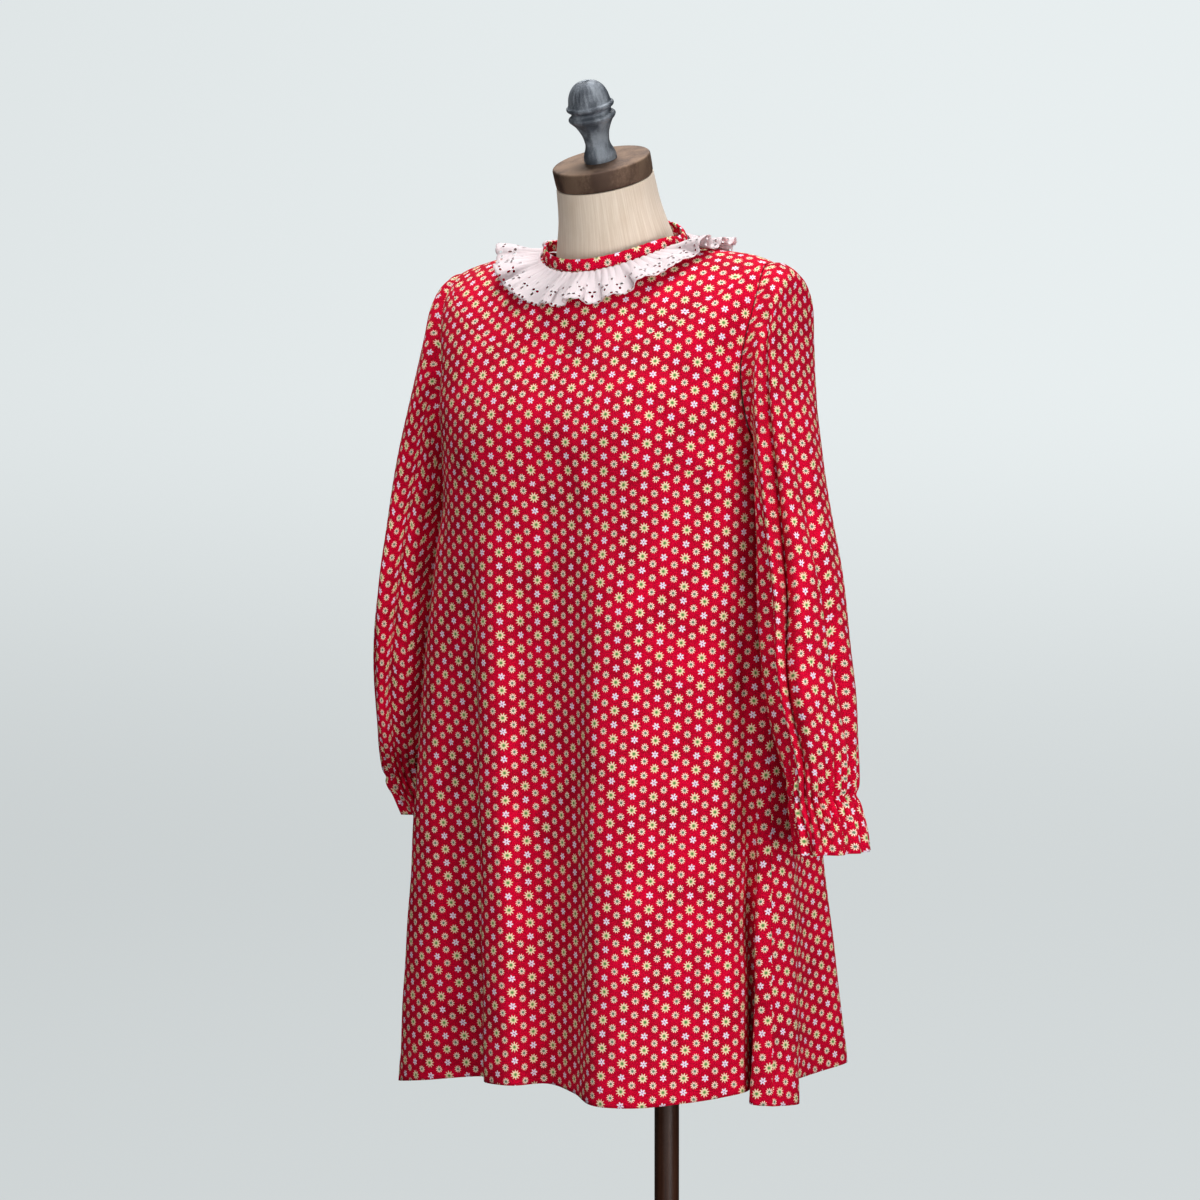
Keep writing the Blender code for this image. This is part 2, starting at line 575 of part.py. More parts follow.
def formGrid():
    """Rings of the torso from the neck's top down, all round, inside the dress by the form's clearance."""
    turn = np.arange(formColumns) * 2 * math.pi / formColumns
    rings = []
    capAxis = np.array([0, -math.sin(capLean), math.cos(capLean)])
    top = np.array(capCentre) - capAxis * seamGap
    seam = bodyRing(turn, 0.0)
    base = seam.mean(axis=0)

    def tilted(middle, axis, radius):
        aside = np.array([1.0, 0, 0])
        ahead = np.cross(axis, aside)
        return middle + np.outer(np.sin(turn) * radius, aside) - np.outer(np.cos(turn) * radius, ahead)

    for share, radius in ((0.0, neckTopRadius), (0.45, 0.0535), (0.85, 0.0600)):
        middle = top + (base - top) * share
        axis = capAxis + (neckNormal() - capAxis) * share
        rings.append(tilted(middle, axis / np.linalg.norm(axis), radius))
    rings.append(tilted(base - neckNormal() * 0.012, neckNormal(), neckFormRadius + 0.004))
    for drop in (0.036, 0.070, 0.100, 0.128, 0.165, 0.212, 0.262, 0.312):
        depth = np.full(turn.size, drop)
        inset = formClearance + 0.004 * max(0.0, drop - 0.1) / 0.2
        rings.append(bodyRing(turn, depth) - surfaceNormal(turn, depth) * inset)
    for z, halfWidth, yFront, ySide, yBack in torsoSections:
        across, along = np.sin(turn), np.cos(turn)
        y = ySide + np.where(along > 0, yFront - ySide, yBack - ySide) * np.abs(along) ** 0.9
        x = halfWidth * np.sign(across) * np.abs(across) ** 0.9
        rings.append(np.stack([x, y, np.full(turn.size, z)], axis=1))
    return np.array(rings)


def makeForm():
    """The limbless torso and neck as one smooth whole body."""
    rings = formGrid()
    rows, columns = rings.shape[:2]
    faces = []
    for row in range(rows - 1):
        for col in range(columns):
            after = (col + 1) % columns
            faces.append((row * columns + col, row * columns + after,
                          (row + 1) * columns + after, (row + 1) * columns + col))
    faces.append(tuple(range(columns))[::-1])
    faces.append(tuple((rows - 1) * columns + col for col in range(columns)))
    mesh = bpy.data.meshes.new("form_torso")
    mesh.from_pydata(rings.reshape(-1, 3).tolist(), [], faces)
    work = bmesh.new()
    work.from_mesh(mesh)
    bmesh.ops.recalc_face_normals(work, faces=work.faces)
    work.to_mesh(mesh)
    work.free()
    finished("form_torso", mesh, linen, crease=60)


def makeCapAndFinial():
    axis = Vector((0, -math.sin(capLean), math.cos(capLean)))
    turnUp = axis.to_track_quat("Z", "Y").to_matrix().to_4x4()
    edge = 0.0015
    profile = ((0, capHeight), (capRadius - edge, capHeight), (capRadius, capHeight - edge),
               (capRadius - 0.0012, 0.0), (0, 0))
    cap = turned("neck_cap", profile, bronze, steps=32)
    cap.matrix_world = Matrix.Translation(capCentre) @ turnUp
    rows = [(radius, finialHeight * share) for share, radius in finialProfile]
    hole = [(0, finialHeight - finialHoleDepth), (finialHoleRadius, finialHeight - finialHoleDepth + 0.001),
            (finialHoleRadius + 0.0006, finialHeight - 0.001)]
    finial = turned("finial", hole + rows + [(0, 0)], pewter, steps=20)
    finial.matrix_world = Matrix.Translation(capCentre + axis * (capHeight + seamGap)) @ turnUp


def makeStand():
    """Pole, the nut that holds the torso, and a plain round base."""
    torsoBottom = torsoSections[-1][0]
    nutTop = torsoBottom - seamGap
    nutProfile = ((0, nutTop), (collarNutRadius * 1.6, nutTop), (collarNutRadius * 1.6, nutTop - 0.006),
                  (collarNutRadius, nutTop - 0.010), (collarNutRadius, nutTop - collarNutHeight), (0, nutTop - collarNutHeight))
    turned("stand_nut", nutProfile, bronze, steps=24)
    top = nutTop - collarNutHeight - seamGap
    bottom = baseThickness + 0.016 + seamGap
    bpy.ops.mesh.primitive_cylinder_add(vertices=24, radius=poleRadius, depth=top - bottom)
    adopt("stand_pole", wood, Vector((0, 0, (top + bottom) / 2)), (0, 0, 1))
    hub = baseThickness + 0.016
    baseProfile = ((0, hub), (0.030, hub), (0.034, hub - 0.006), (0.050, baseThickness + 0.003),
                   (baseRadius - 0.006, baseThickness), (baseRadius, baseThickness - 0.004), (baseRadius, 0.0), (0, 0))
    turned("stand_base", baseProfile, bronze, steps=40)


for old in list(bpy.data.objects):
    bpy.data.objects.remove(old)
dress = bpy.data.collections.new("tent_dress_on_form")
bpy.context.scene.collection.children.link(dress)

print_cloth = makeMaterial("print_cloth", (0.60, 0.02, 0.05), 0.85)
eyelet = makeMaterial("eyelet", (0.86, 0.82, 0.80), 0.8)
linen = makeMaterial("linen", (0.60, 0.51, 0.41), 0.85)
bronze = makeMaterial("bronze", (0.12, 0.09, 0.075), 0.45, 0.6)
pewter = makeMaterial("pewter", (0.13, 0.14, 0.15), 0.6, 0.4)
wood = makeMaterial("wood", (0.045, 0.03, 0.025), 0.4)
pearl = makeMaterial("pearl", (0.8, 0.78, 0.74), 0.35)

drops, armholes = makePanels()
makeSleeve("left", drops, armholes)
makeSleeve("right", drops, armholes)
makeBand()
makeCollar()
makeButton()
makeForm()
makeCapAndFinial()
makeStand()
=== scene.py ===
# A tent dress in small-flowered cotton with a gathered eyelet collar, on a linen dress form and its stand.
# Metres, +Z up. The pole is the Z axis and the dress's front faces -Y, so the wearer's left is at +X.
import math

import bpy
import numpy as np
from mathutils import Matrix, Vector
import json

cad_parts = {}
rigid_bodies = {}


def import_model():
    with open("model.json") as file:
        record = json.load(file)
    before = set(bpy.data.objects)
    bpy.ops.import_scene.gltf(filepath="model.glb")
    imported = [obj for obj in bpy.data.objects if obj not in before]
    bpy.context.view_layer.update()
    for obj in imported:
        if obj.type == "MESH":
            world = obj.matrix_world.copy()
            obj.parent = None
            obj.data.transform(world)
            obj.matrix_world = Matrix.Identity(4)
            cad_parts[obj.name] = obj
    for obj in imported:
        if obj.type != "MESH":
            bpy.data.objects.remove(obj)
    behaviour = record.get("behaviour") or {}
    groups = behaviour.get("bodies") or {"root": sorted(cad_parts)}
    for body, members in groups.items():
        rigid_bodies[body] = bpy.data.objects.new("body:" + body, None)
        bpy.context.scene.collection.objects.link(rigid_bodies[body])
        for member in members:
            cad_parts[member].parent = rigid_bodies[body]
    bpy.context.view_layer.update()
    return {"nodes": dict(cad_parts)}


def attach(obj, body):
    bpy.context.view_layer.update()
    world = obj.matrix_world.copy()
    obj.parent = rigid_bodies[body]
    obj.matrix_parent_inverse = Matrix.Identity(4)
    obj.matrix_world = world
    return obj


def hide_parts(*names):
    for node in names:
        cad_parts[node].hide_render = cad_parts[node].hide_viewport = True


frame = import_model()
print("frame: loaded, with", len(frame["nodes"]), "solids")

# The camera stands where the photograph was taken: 30 degrees round to the wearer's left.
camera = dict(turn=30.0, distance=4.2, height=1.14425, aimLeft=0.07035, aimDown=0.105, frameWidth=1.26)


def addObject(name, data):
    thing = bpy.data.objects.new(name, data)
    bpy.context.scene.collection.objects.link(thing)
    return thing


def placeCamera(spec):
    turn = math.radians(spec["turn"])
    ahead = Vector((-math.sin(turn), math.cos(turn), 0))
    aside = Vector((math.cos(turn), math.sin(turn), 0))
    yaw = math.atan(spec["aimLeft"] / spec["distance"])
    pitch = math.atan(spec["aimDown"] / spec["distance"])
    look = ahead * math.cos(yaw) - aside * math.sin(yaw)
    look = look * math.cos(pitch) + Vector((0, 0, -1)) * math.sin(pitch)
    eye = addObject("photoCamera", bpy.data.cameras.new("photoCamera"))
    eye.location = -ahead * spec["distance"] + Vector((0, 0, spec["height"]))
    eye.rotation_euler = look.to_track_quat("-Z", "Y").to_euler()
    eye.data.sensor_width = 36
    eye.data.lens = 36 / spec["frameWidth"] * spec["distance"]
    bpy.context.scene.camera = eye


placeCamera(camera)

# The body of the dress. A level is how far the cloth drops below the neck seam.
body = dict(
    shoulderDrop=0.112, underarmDrop=0.312, supportDrop=0.360, hemDrop=0.960,
    rowPoints=361, yokeSteps=27, armholeSteps=50, sideSteps=12, skirtSteps=142,
    armholeInsetFront=0.054, armholeInsetBack=0.047, sideRise=1.6,
    hemLevel=0.534, hemSamples=600, hemEvenness=0.75, frontBow=0.08, backBow=0.12,
    # a small growth lets a fold start early on its way down, a large one late
    foldBlur=0.075, foldGrowth=0.52, sideFoldGrowth=1.5, sideFoldShares=(0.68, 0.76),
    # where the cloth leaves the bust, rows within the reach are blurred down the panel
    easeReach=0.09, easeBlur=0.014, easeSpread=0.045,
    # share at the hem, and how far a front fold there has moved along the row where it starts, under the bust
    frontLean=((0.00, 0.0), (0.29, 0.0), (0.36, 0.055), (0.42, 0.050), (0.47, -0.010), (0.54, -0.022),
               (0.62, 0.0), (0.72, -0.010), (0.78, -0.030), (0.88, -0.030), (1.0, 0.0)),
    slitLength=0.150, slitGap=0.0024, seamGap=0.0003,
    cloth=0.0016, thinShare=0.55, hemAllowance=0.028,
    # drop, halfWidth, yFront, ySide, yBack, zFront, zSide, zBack, squareness
    sections=(
        (0.000, 0.074, -0.178, -0.104, -0.034, 1.374, 1.400, 1.424, 1.00),
        (0.055, 0.124, -0.201, -0.105, -0.012, 1.335, 1.396, 1.392, 0.96),
        (0.112, 0.180, -0.216, -0.106, 0.006, 1.290, 1.382, 1.345, 0.90),
        (0.212, 0.183, -0.237, -0.107, 0.026, 1.226, 1.282, 1.252, 0.80),
        (0.312, 0.180, -0.236, -0.107, 0.046, 1.160, 1.186, 1.157, 0.76),
        (0.360, 0.180, -0.232, -0.106, 0.056, 1.113, 1.136, 1.109, 0.75),
    ),
    # x, z, out, spreadX, spreadZ
    bust=((0.086, 1.212, 0.0060, 0.048, 0.046), (-0.086, 1.212, 0.0060, 0.048, 0.046),
          (0.000, 1.120, -0.0095, 0.050, 0.062)),
    # x, y, lift of the hem's crests and valleys, from the right side seam round to the left one
    frontHem=(
        (-0.243, -0.035, 0.000), (-0.259, -0.118, -0.005), (-0.213, -0.150, 0.002), (-0.134, -0.152, 0.012),
        (-0.091, -0.205, 0.015), (-0.057, -0.214, 0.016), (-0.036, -0.183, 0.016), (0.009, -0.201, 0.012),
        (0.055, -0.238, 0.007), (0.094, -0.233, 0.007), (0.124, -0.202, 0.009), (0.151, -0.1715, 0.013),
        (0.170, -0.1415, 0.017), (0.165, -0.118, 0.018), (0.147, -0.088, 0.018), (0.171, -0.112, 0.015),
        (0.182, -0.146, 0.007), (0.204, -0.142, 0.006),
    ),
    backHem=(
        (0.204, -0.142, 0.006), (0.212, -0.108, 0.004), (0.168, -0.040, 0.003), (0.136, 0.020, 0.003),
        (0.122, 0.086, 0.003), (0.134, 0.150, 0.010), (0.104, 0.176, 0.008), (0.064, 0.150, 0.006),
        (0.022, 0.184, 0.004), (-0.030, 0.172, 0.002), (-0.062, 0.146, 0.000), (-0.110, 0.176, 0.000),
        (-0.154, 0.148, -0.002), (-0.166, 0.104, -0.002), (-0.222, 0.088, -0.004), (-0.228, 0.028, -0.002),
        (-0.243, -0.035, 0.000),
    ),
)


def smooth(knots, values, at):
    # a smooth curve through rows of values at uneven knots
    knots, values, at = np.asarray(knots, float), np.asarray(values, float), np.atleast_1d(at)
    extra = [1] * (values.ndim - 1)
    steps = np.diff(knots)
    slopes = np.diff(values, axis=0) / steps.reshape(-1, *extra)
    inner = np.zeros_like(values)
    weight = (steps[:-1] / (steps[:-1] + steps[1:])).reshape(-1, *extra)
    inner[1:-1] = slopes[:-1] * (1 - weight) + slopes[1:] * weight
    inner[0], inner[-1] = slopes[0], slopes[-1]
    place = np.clip(np.searchsorted(knots, at, side="right") - 1, 0, len(steps) - 1)
    length = steps[place].reshape(-1, *extra)
    t = ((at - knots[place]) / steps[place]).reshape(-1, *extra)
    return (values[place] * (2 * t**3 - 3 * t**2 + 1) + values[place + 1] * (3 * t**2 - 2 * t**3)
            + inner[place] * length * (t**3 - 2 * t**2 + t) + inner[place + 1] * length * (t**3 - t**2))


def easeIn(value, low, high):
    t = np.clip((value - low) / (high - low), 0, 1)
    return t * t * (3 - 2 * t)


def gaps(points, axis=0):
    # the distances between neighbouring points of a line or a grid
    return np.linalg.norm(np.diff(points, axis=axis), axis=-1)


def sumsSoFar(steps, axis=0):
    return np.concatenate([np.zeros_like(steps.take([0], axis=axis)), np.cumsum(steps, axis=axis)], axis=axis)


def lengthOf(points):
    return float(gaps(points).sum())


def stepsAcross(grid, closed=False):
    # from each point of a row to the next one; a closed row goes on to its first point
    return np.roll(grid, -1, axis=1) - grid if closed else np.diff(grid, axis=1)


def areaOf(grid, closed=False):
    across = stepsAcross(grid, closed)
    down = np.diff(grid, axis=0)[:, :across.shape[1]]
    return np.linalg.norm(np.cross(down, across[:-1]), axis=2).sum()


def byLength(points, shares):
    # the points at given shares of a line's length
    along = sumsSoFar(gaps(points))
    at = np.asarray(shares) * along[-1]
    return np.stack([np.interp(at, along, points[:, k]) for k in range(3)], axis=1)


def bustOut(x, z):
    out = np.zeros_like(x)
    for xMiddle, zMiddle, height, spreadX, spreadZ in body["bust"]:
        out += height * np.exp(-(((x - xMiddle) / spreadX) ** 2) - ((z - zMiddle) / spreadZ) ** 2)
    return out


def bodyRing(angle, drop):
    # a ring round the body above the skirt; angle 0 is the front and 90 degrees the wearer's left
    values = np.array(body["sections"])
    row = smooth(values[:, 0], values[:, 1:], np.full(angle.size, drop) if np.isscalar(drop) else drop)
    halfWidth, yFront, ySide, yBack, zFront, zSide, zBack, square = row.T
    across, along = np.sin(angle), np.cos(angle)
    x = halfWidth * np.sign(across) * np.abs(across) ** square
    isFront = along > 0
    y = ySide + np.where(isFront, yFront - ySide, yBack - ySide) * np.abs(along) ** square
    z = zSide + np.where(isFront, zFront - zSide, zBack - zSide) * np.abs(along) ** body["sideRise"]
    return np.stack([x, y - bustOut(x, z) * isFront, z], axis=1)


def hemShape(rows):
    # the hem as a fine line, and the broad line that it would be without its folds
    rows = np.array(rows)
    knots = sumsSoFar(gaps(rows[:, :2]) ** body["hemEvenness"])
    line = smooth(knots, rows, np.linspace(0, knots[-1], body["hemSamples"]))
    hem = byLength(np.column_stack([line[:, :2], body["hemLevel"] + line[:, 2]]), rowShares)
    step = lengthOf(hem) / (len(hem) - 1)
    half = int(3 * body["foldBlur"] / step)
    weight = np.exp(-0.5 * (np.arange(-half, half + 1) * step / body["foldBlur"]) ** 2)
    weight /= weight.sum()
    padded = np.concatenate([2 * hem[0] - hem[half:0:-1], hem, 2 * hem[-1] - hem[-2:-half - 2:-1]])
    broad = np.stack([np.convolve(padded[:, k], weight, "valid") for k in range(3)], axis=1)
    return hem, broad


rowShares = np.linspace(0, 1, body["rowPoints"])
hemShapes = dict(front=hemShape(body["frontHem"]), back=hemShape(body["backHem"]))


def panelRow(side, drop):
    # one level of the front or back: on the body down to the support drop, hanging free below it
    turn = np.linspace(-math.pi / 2, math.pi / 2, body["rowPoints"]) + (0 if side == "front" else math.pi)
    if drop <= body["supportDrop"]:
        return bodyRing(turn, drop)
    shares = rowShares
    top = byLength(bodyRing(turn, body["supportDrop"]), shares)
    hem, broad = hemShapes[side]
    w = (drop - body["supportDrop"]) / (body["hemDrop"] - body["supportDrop"])
    bow = body[side + "Bow"] * math.sin(math.pi * w) * np.sin(math.pi * shares) ** 0.5
    fold, growth = hem - broad, body["foldGrowth"]
    if side == "front":
        growth = growth + (body["sideFoldGrowth"] - growth) * easeIn(shares, *body["sideFoldShares"])[:, None]
        lean = np.array(body["frontLean"])
        at = shares + np.interp(shares, lean[:, 0], lean[:, 1]) * (1 - w)
        fold = np.stack([np.interp(at, shares, fold[:, k]) for k in range(3)], axis=1)
    row = top + (broad - top) * (w + bow)[:, None] + fold * w**growth
    level = top[:, 2] + (hem[:, 2] - top[:, 2]) * w
    if side == "front":
        row[:, 1] += bustOut(top[:, 0], top[:, 2]) * (1 - w) - bustOut(row[:, 0], level)
    row[:, 2] = level
    return row


def armholeInset(side, drop):
    middle = (body["shoulderDrop"] + body["underarmDrop"]) / 2
    half = (body["underarmDrop"] - body["shoulderDrop"]) / 2
    share = max(0.0, 1 - ((drop - middle) / half) ** 2)
    return body["armholeInset" + side.capitalize()] * math.sqrt(share)


def panelLevels():
    low, high = body["shoulderDrop"], body["underarmDrop"]
    steps = body["armholeSteps"]
    armhole = [(low + high) / 2 - (high - low) / 2 * math.cos(math.pi * j / steps) for j in range(steps + 1)]
    yoke = np.linspace(0, low, body["yokeSteps"])[:-1]
    side = np.linspace(high, body["supportDrop"], body["sideSteps"])[1:]
    skirt = np.linspace(body["supportDrop"], body["hemDrop"], body["skirtSteps"])[1:]
    return np.array([*yoke, *armhole, *side, *skirt])


levels = panelLevels()


def closeShares(count):
    # shares across a panel, closer together beside its two seams
    return np.array([0, 0.0025, 0.006, *np.linspace(0.012, 0.988, count), 0.994, 0.9975, 1])


def panelGrid(side, shares, first=0.0, last=1.0):
    grid = []
    for drop in levels:
        line = panelRow(side, drop)
        inset = 0.0
        if body["shoulderDrop"] < drop < body["underarmDrop"]:
            inset = armholeInset(side, drop) / lengthOf(line)
        low = inset if first == 0 else first
        high = 1 - inset if last == 1 else last
        grid.append(byLength(line, low + (high - low) * shares))
    return easedRows(np.array(grid))


def easedRows(grid):
    # cloth turns softly where it leaves the bust, instead of at one level
    near = np.abs(levels - body["supportDrop"]) < body["easeReach"]
    eased = grid.copy()
    for i in np.flatnonzero(near):
        weight = np.exp(-0.5 * ((levels - levels[i]) / body["easeBlur"]) ** 2) * np.gradient(levels)
        mean = np.tensordot(weight / weight.sum(), grid, axes=1)
        share = math.exp(-(((levels[i] - body["supportDrop"]) / body["easeSpread"]) ** 2))
        eased[i] += (mean - grid[i]) * share
    return eased


def gridNormals(grid):
    down = np.gradient(grid, axis=0)
    normal = np.cross(down, np.gradient(grid, axis=1))
    return normal / np.maximum(np.linalg.norm(normal, axis=2, keepdims=True), 1e-12)


def lineWeights(across, along, points, spread):
    # 1 on a line of points, falling to 0 over the spread beside it and towards its ends
    best, place = np.full(across.shape, np.inf), np.zeros(across.shape)
    points = np.array(points)
    steps = gaps(points)
    total, before = steps.sum(), 0.0
    for start, end, step in zip(points[:-1], points[1:], steps):
        way = (end - start) / step
        t = np.clip((across - start[0]) * way[0] + (along - start[1]) * way[1], 0, step)
        away = np.hypot(across - start[0] - way[0] * t, along - start[1] - way[1] * t)
        nearer = away < best
        best, place = np.where(nearer, away, best), np.where(nearer, (before + t) / total, place)
        before += step
    return np.exp(-((best / spread) ** 2)) * np.sin(math.pi * np.clip(place * 0.9 + 0.05, 0, 1)) ** 0.7


def softWaves(u, v, seed, height, shortest, longest, count=14, usualSum=3.7):
    # the faint unevenness of washed and pressed cloth
    rng = np.random.default_rng(seed)
    total = np.zeros_like(u)
    for _ in range(count):
        wave, turn = rng.uniform(shortest, longest), rng.uniform(-0.9, 0.9)
        phase = rng.uniform(0, 2 * math.pi)
        total += np.sin(2 * math.pi * (u * math.cos(turn) + v * math.sin(turn)) / wave + phase)
    return total * height / usualSum


def flattenCloth(grid, rowCount=30, columnCount=26, passes=160):
    # lays a panel flat with as little stretch as possible, so that the print keeps its size and its
    # columns run with the thread; gives each point's place in metres of cloth
    rows, columns = grid.shape[:2]
    down, across = gaps(grid, 0), gaps(grid, 1)
    along = sumsSoFar(down.mean(axis=1))
    rowAt = np.unique([int(np.abs(along - x).argmin()) for x in np.linspace(0, along[-1], rowCount)])
    columnAt = np.unique(np.linspace(0, columns - 1, columnCount).round().astype(int))
    downLength, acrossLength = sumsSoFar(down, 0), sumsSoFar(across, 1)
    downWay, acrossWay = np.gradient(grid, axis=0), np.gradient(grid, axis=1)
    lengths = np.linalg.norm(downWay, axis=2) * np.linalg.norm(acrossWay, axis=2)
    dots = (downWay * acrossWay).sum(axis=2) / (lengths + 1e-12)
    keptRows, keptColumns = len(rowAt), len(columnAt)
    cells, shapes = [], []
    for a in range(keptRows - 1):
        for b in range(keptColumns - 1):
            r0, r1, c0, c1 = rowAt[a], rowAt[a + 1], columnAt[b], columnAt[b + 1]
            top = acrossLength[r0, c1] - acrossLength[r0, c0]
            bottom = acrossLength[r1, c1] - acrossLength[r1, c0]
            deep = (downLength[r1, c0:c1 + 1] - downLength[r0, c0:c1 + 1]).mean()
            lean = float(np.clip(dots[r0:r1 + 1, c0:c1 + 1].mean(), -0.9, 0.9))
            step = deep * complex(lean, -math.sqrt(1 - lean * lean))
            shape = np.array([-top / 2, top / 2, -bottom / 2 + step, bottom / 2 + step])
            first = a * keptColumns + b
            cells.append((first, first + 1, first + keptColumns, first + keptColumns + 1))
            shapes.append(shape - shape.mean())
    cells, shapes = np.array(cells), np.array(shapes)
    size = keptRows * keptColumns
    pull = np.zeros((size, size))
    for cell in cells:
        pull[np.ix_(cell, cell)] += np.eye(4) - 0.25
    pull[0, 0] += 1.0
    undo = np.linalg.inv(pull)
    place = (np.outer(np.ones(keptRows), columnAt / columns * acrossLength[rows // 2, -1])
             - 1j * np.outer(along[rowAt], np.ones(keptColumns))).reshape(-1)
    for _ in range(passes):  # each cell turns to fit its corners without stretch, then the corners settle
        corners = place[cells]
        corners = corners - corners.mean(axis=1, keepdims=True)
        turn = (np.conj(shapes) * corners).sum(axis=1)
        turn /= np.abs(turn)
        wanted = np.zeros(size, complex)
        np.add.at(wanted, cells, turn[:, None] * shapes)
        place = undo @ wanted
    place = place.reshape(keptRows, keptColumns)
    flat = smooth(along[rowAt], np.stack([place.real, place.imag], axis=2), along)
    wide = acrossLength.mean(axis=0)
    return smooth(wide[columnAt], flat.transpose(1, 0, 2), wide).transpose(1, 0, 2)


def threadStraight(flat, column, shift=(0.0, 0.0)):
    # turns a laid-out panel so that one of its columns runs with the thread, with its hem end at zero
    way = flat[-1, column] - flat[0, column]
    angle = -math.pi / 2 - math.atan2(way[1], way[0])
    turn = np.array([[math.cos(angle), -math.sin(angle)], [math.sin(angle), math.cos(angle)]])
    return (flat - flat[-1, column]) @ turn.T + np.array(shift)


def poleAt(line):
    # the middle of the body at the height where a row of cloth starts
    return np.array([0, -0.1, line[0, 2]])


def clothPiece(name, grid, flat, finish, reverse, thickness, closed=False, heavy=None):
    # a wall of cloth round a grid of points, with its place in flat cloth as the UV map; heavy is 1 where it
    # is doubled
    rows, columns = grid.shape[:2]
    spans = columns if closed else columns - 1
    r, c = np.meshgrid(np.arange(rows - 1), np.arange(spans), indexing="ij")
    after = (c + 1) % columns
    here, below = r * columns, (r + 1) * columns
    quads = np.stack([here + c, below + c, below + after, here + after], axis=-1)
    corners = np.stack([flat[r, c], flat[r + 1, c], flat[r + 1, c + 1], flat[r, c + 1]], axis=2)
    middle = rows // 2
    normal = np.cross(grid[middle + 1] - grid[middle], np.roll(grid[middle], -1, axis=0) - grid[middle])
    outward = grid[middle] - (grid[middle].mean(axis=0) if closed else poleAt(grid[middle]))
    if (normal[1:-1] * outward[1:-1]).sum() < 0:
        quads, corners = quads[..., ::-1], corners[:, :, ::-1]
    mesh = bpy.data.meshes.new(name)
    mesh.from_pydata(grid.reshape(-1, 3).tolist(), [], quads.reshape(-1, 4).tolist())
    layer = mesh.uv_layers.new(name="clothFlat")
    layer.data.foreach_set("uv", corners.reshape(-1).astype(np.float32))
    mesh.materials.append(finish)
    mesh.materials.append(reverse)
    mesh.shade_smooth()
    piece = addObject(name, mesh)
    wall = piece.modifiers.new("clothThickness", "SOLIDIFY")
    wall.thickness = thickness
    wall.offset = 0
    wall.use_quality_normals = True
    wall.material_offset = 1
    if heavy is not None:
        group = piece.vertex_groups.new(name="doubled")
        for i, value in enumerate(heavy.reshape(-1)):
            if value > 0.001:
                group.add([i], float(value), "REPLACE")
        wall.vertex_group = "doubled"
        wall.thickness_vertex_group = body["thinShare"]
    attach(piece, "root")
    return piece


# Materials are built from small node helpers.
def srgb(red, green, blue):
    def one(value):
        value /= 255
        return value / 12.92 if value <= 0.04045 else ((value + 0.055) / 1.055) ** 2.4
    return (one(red), one(green), one(blue), 1.0)


def connect(tree, socket, value):
    if isinstance(value, bpy.types.NodeSocket):
        tree.links.new(value, socket)
    elif value is not None:
        socket.default_value = value


def maths(tree, operation, a, b=None, c=None, clamp=False):
    node = tree.nodes.new("ShaderNodeMath")
    node.operation = operation
    node.use_clamp = clamp
    for socket, value in zip(node.inputs, (a, b, c)):
        connect(tree, socket, value)
    return node.outputs[0]


def plus(tree, a, b):
    return maths(tree, "ADD", a, b)


def minus(tree, a, b):
    return maths(tree, "SUBTRACT", a, b)


def times(tree, a, b):
    return maths(tree, "MULTIPLY", a, b)


def scaled(tree, value, by, more, clamp=False):
    return maths(tree, "MULTIPLY_ADD", value, by, more, clamp)


def lengthFromZero(tree, x, y):
    return maths(tree, "SQRT", plus(tree, maths(tree, "POWER", x, 2.0), maths(tree, "POWER", y, 2.0)))


def ramp(tree, value, low, high, toLow=0.0, toHigh=1.0):
    # goes smoothly from toLow to toHigh while the value goes from low to high
    node = tree.nodes.new("ShaderNodeMapRange")
    node.interpolation_type = "SMOOTHSTEP"
    keys = ("Value", "From Min", "From Max", "To Min", "To Max")
    for key, item in zip(keys, (value, low, high, toLow, toHigh)):
        connect(tree, node.inputs[key], item)
    return node.outputs["Result"]


def mixed(tree, share, one, other, how="MIX"):
    node = tree.nodes.new("ShaderNodeMix")
    node.data_type = "RGBA"
    node.blend_type = how
    connect(tree, node.inputs[0], share)
    connect(tree, node.inputs[6], one)
    connect(tree, node.inputs[7], other)
    return node.outputs[2]


def split(tree, vector):
    node = tree.nodes.new("ShaderNodeSeparateXYZ")
    connect(tree, node.inputs[0], vector)
    return node.outputs[0], node.outputs[1], node.outputs[2]


def joined(tree, x, y, z=0.0):
    node = tree.nodes.new("ShaderNodeCombineXYZ")
    for socket, value in zip(node.inputs, (x, y, z)):
        connect(tree, socket, value)
    return node.outputs[0]


def noise(tree, vector, scale, detail=2.0, rough=0.5):
    node = tree.nodes.new("ShaderNodeTexNoise")
    connect(tree, node.inputs["Vector"], vector)
    connect(tree, node.inputs["Scale"], scale)
    node.inputs["Detail"].default_value = detail
    node.inputs["Roughness"].default_value = rough
    return node.outputs["Fac"]


def stretched(tree, vector, scale):
    node = tree.nodes.new("ShaderNodeMapping")
    connect(tree, node.inputs["Vector"], vector)
    node.inputs["Scale"].default_value = scale
    return node.outputs[0]


def shaderGroup(name, inputs, outputs):
    # an empty node group with named inputs, given as kind and starting value, and named outputs
    tree = bpy.data.node_groups.new(name, "ShaderNodeTree")
    for key, (kind, value) in inputs.items():
        socket = tree.interface.new_socket(key, in_out="INPUT", socket_type=kind)
        if value is not None:
            socket.default_value = value
    for key, kind in outputs.items():
        tree.interface.new_socket(key, in_out="OUTPUT", socket_type=kind)
    return tree, tree.nodes.new("NodeGroupInput").outputs, tree.nodes.new("NodeGroupOutput").inputs


def placed(tree, group, **values):
    node = tree.nodes.new("ShaderNodeGroup")
    node.node_tree = group
    for key, value in values.items():
        connect(tree, node.inputs[key], value)
    return node.outputs


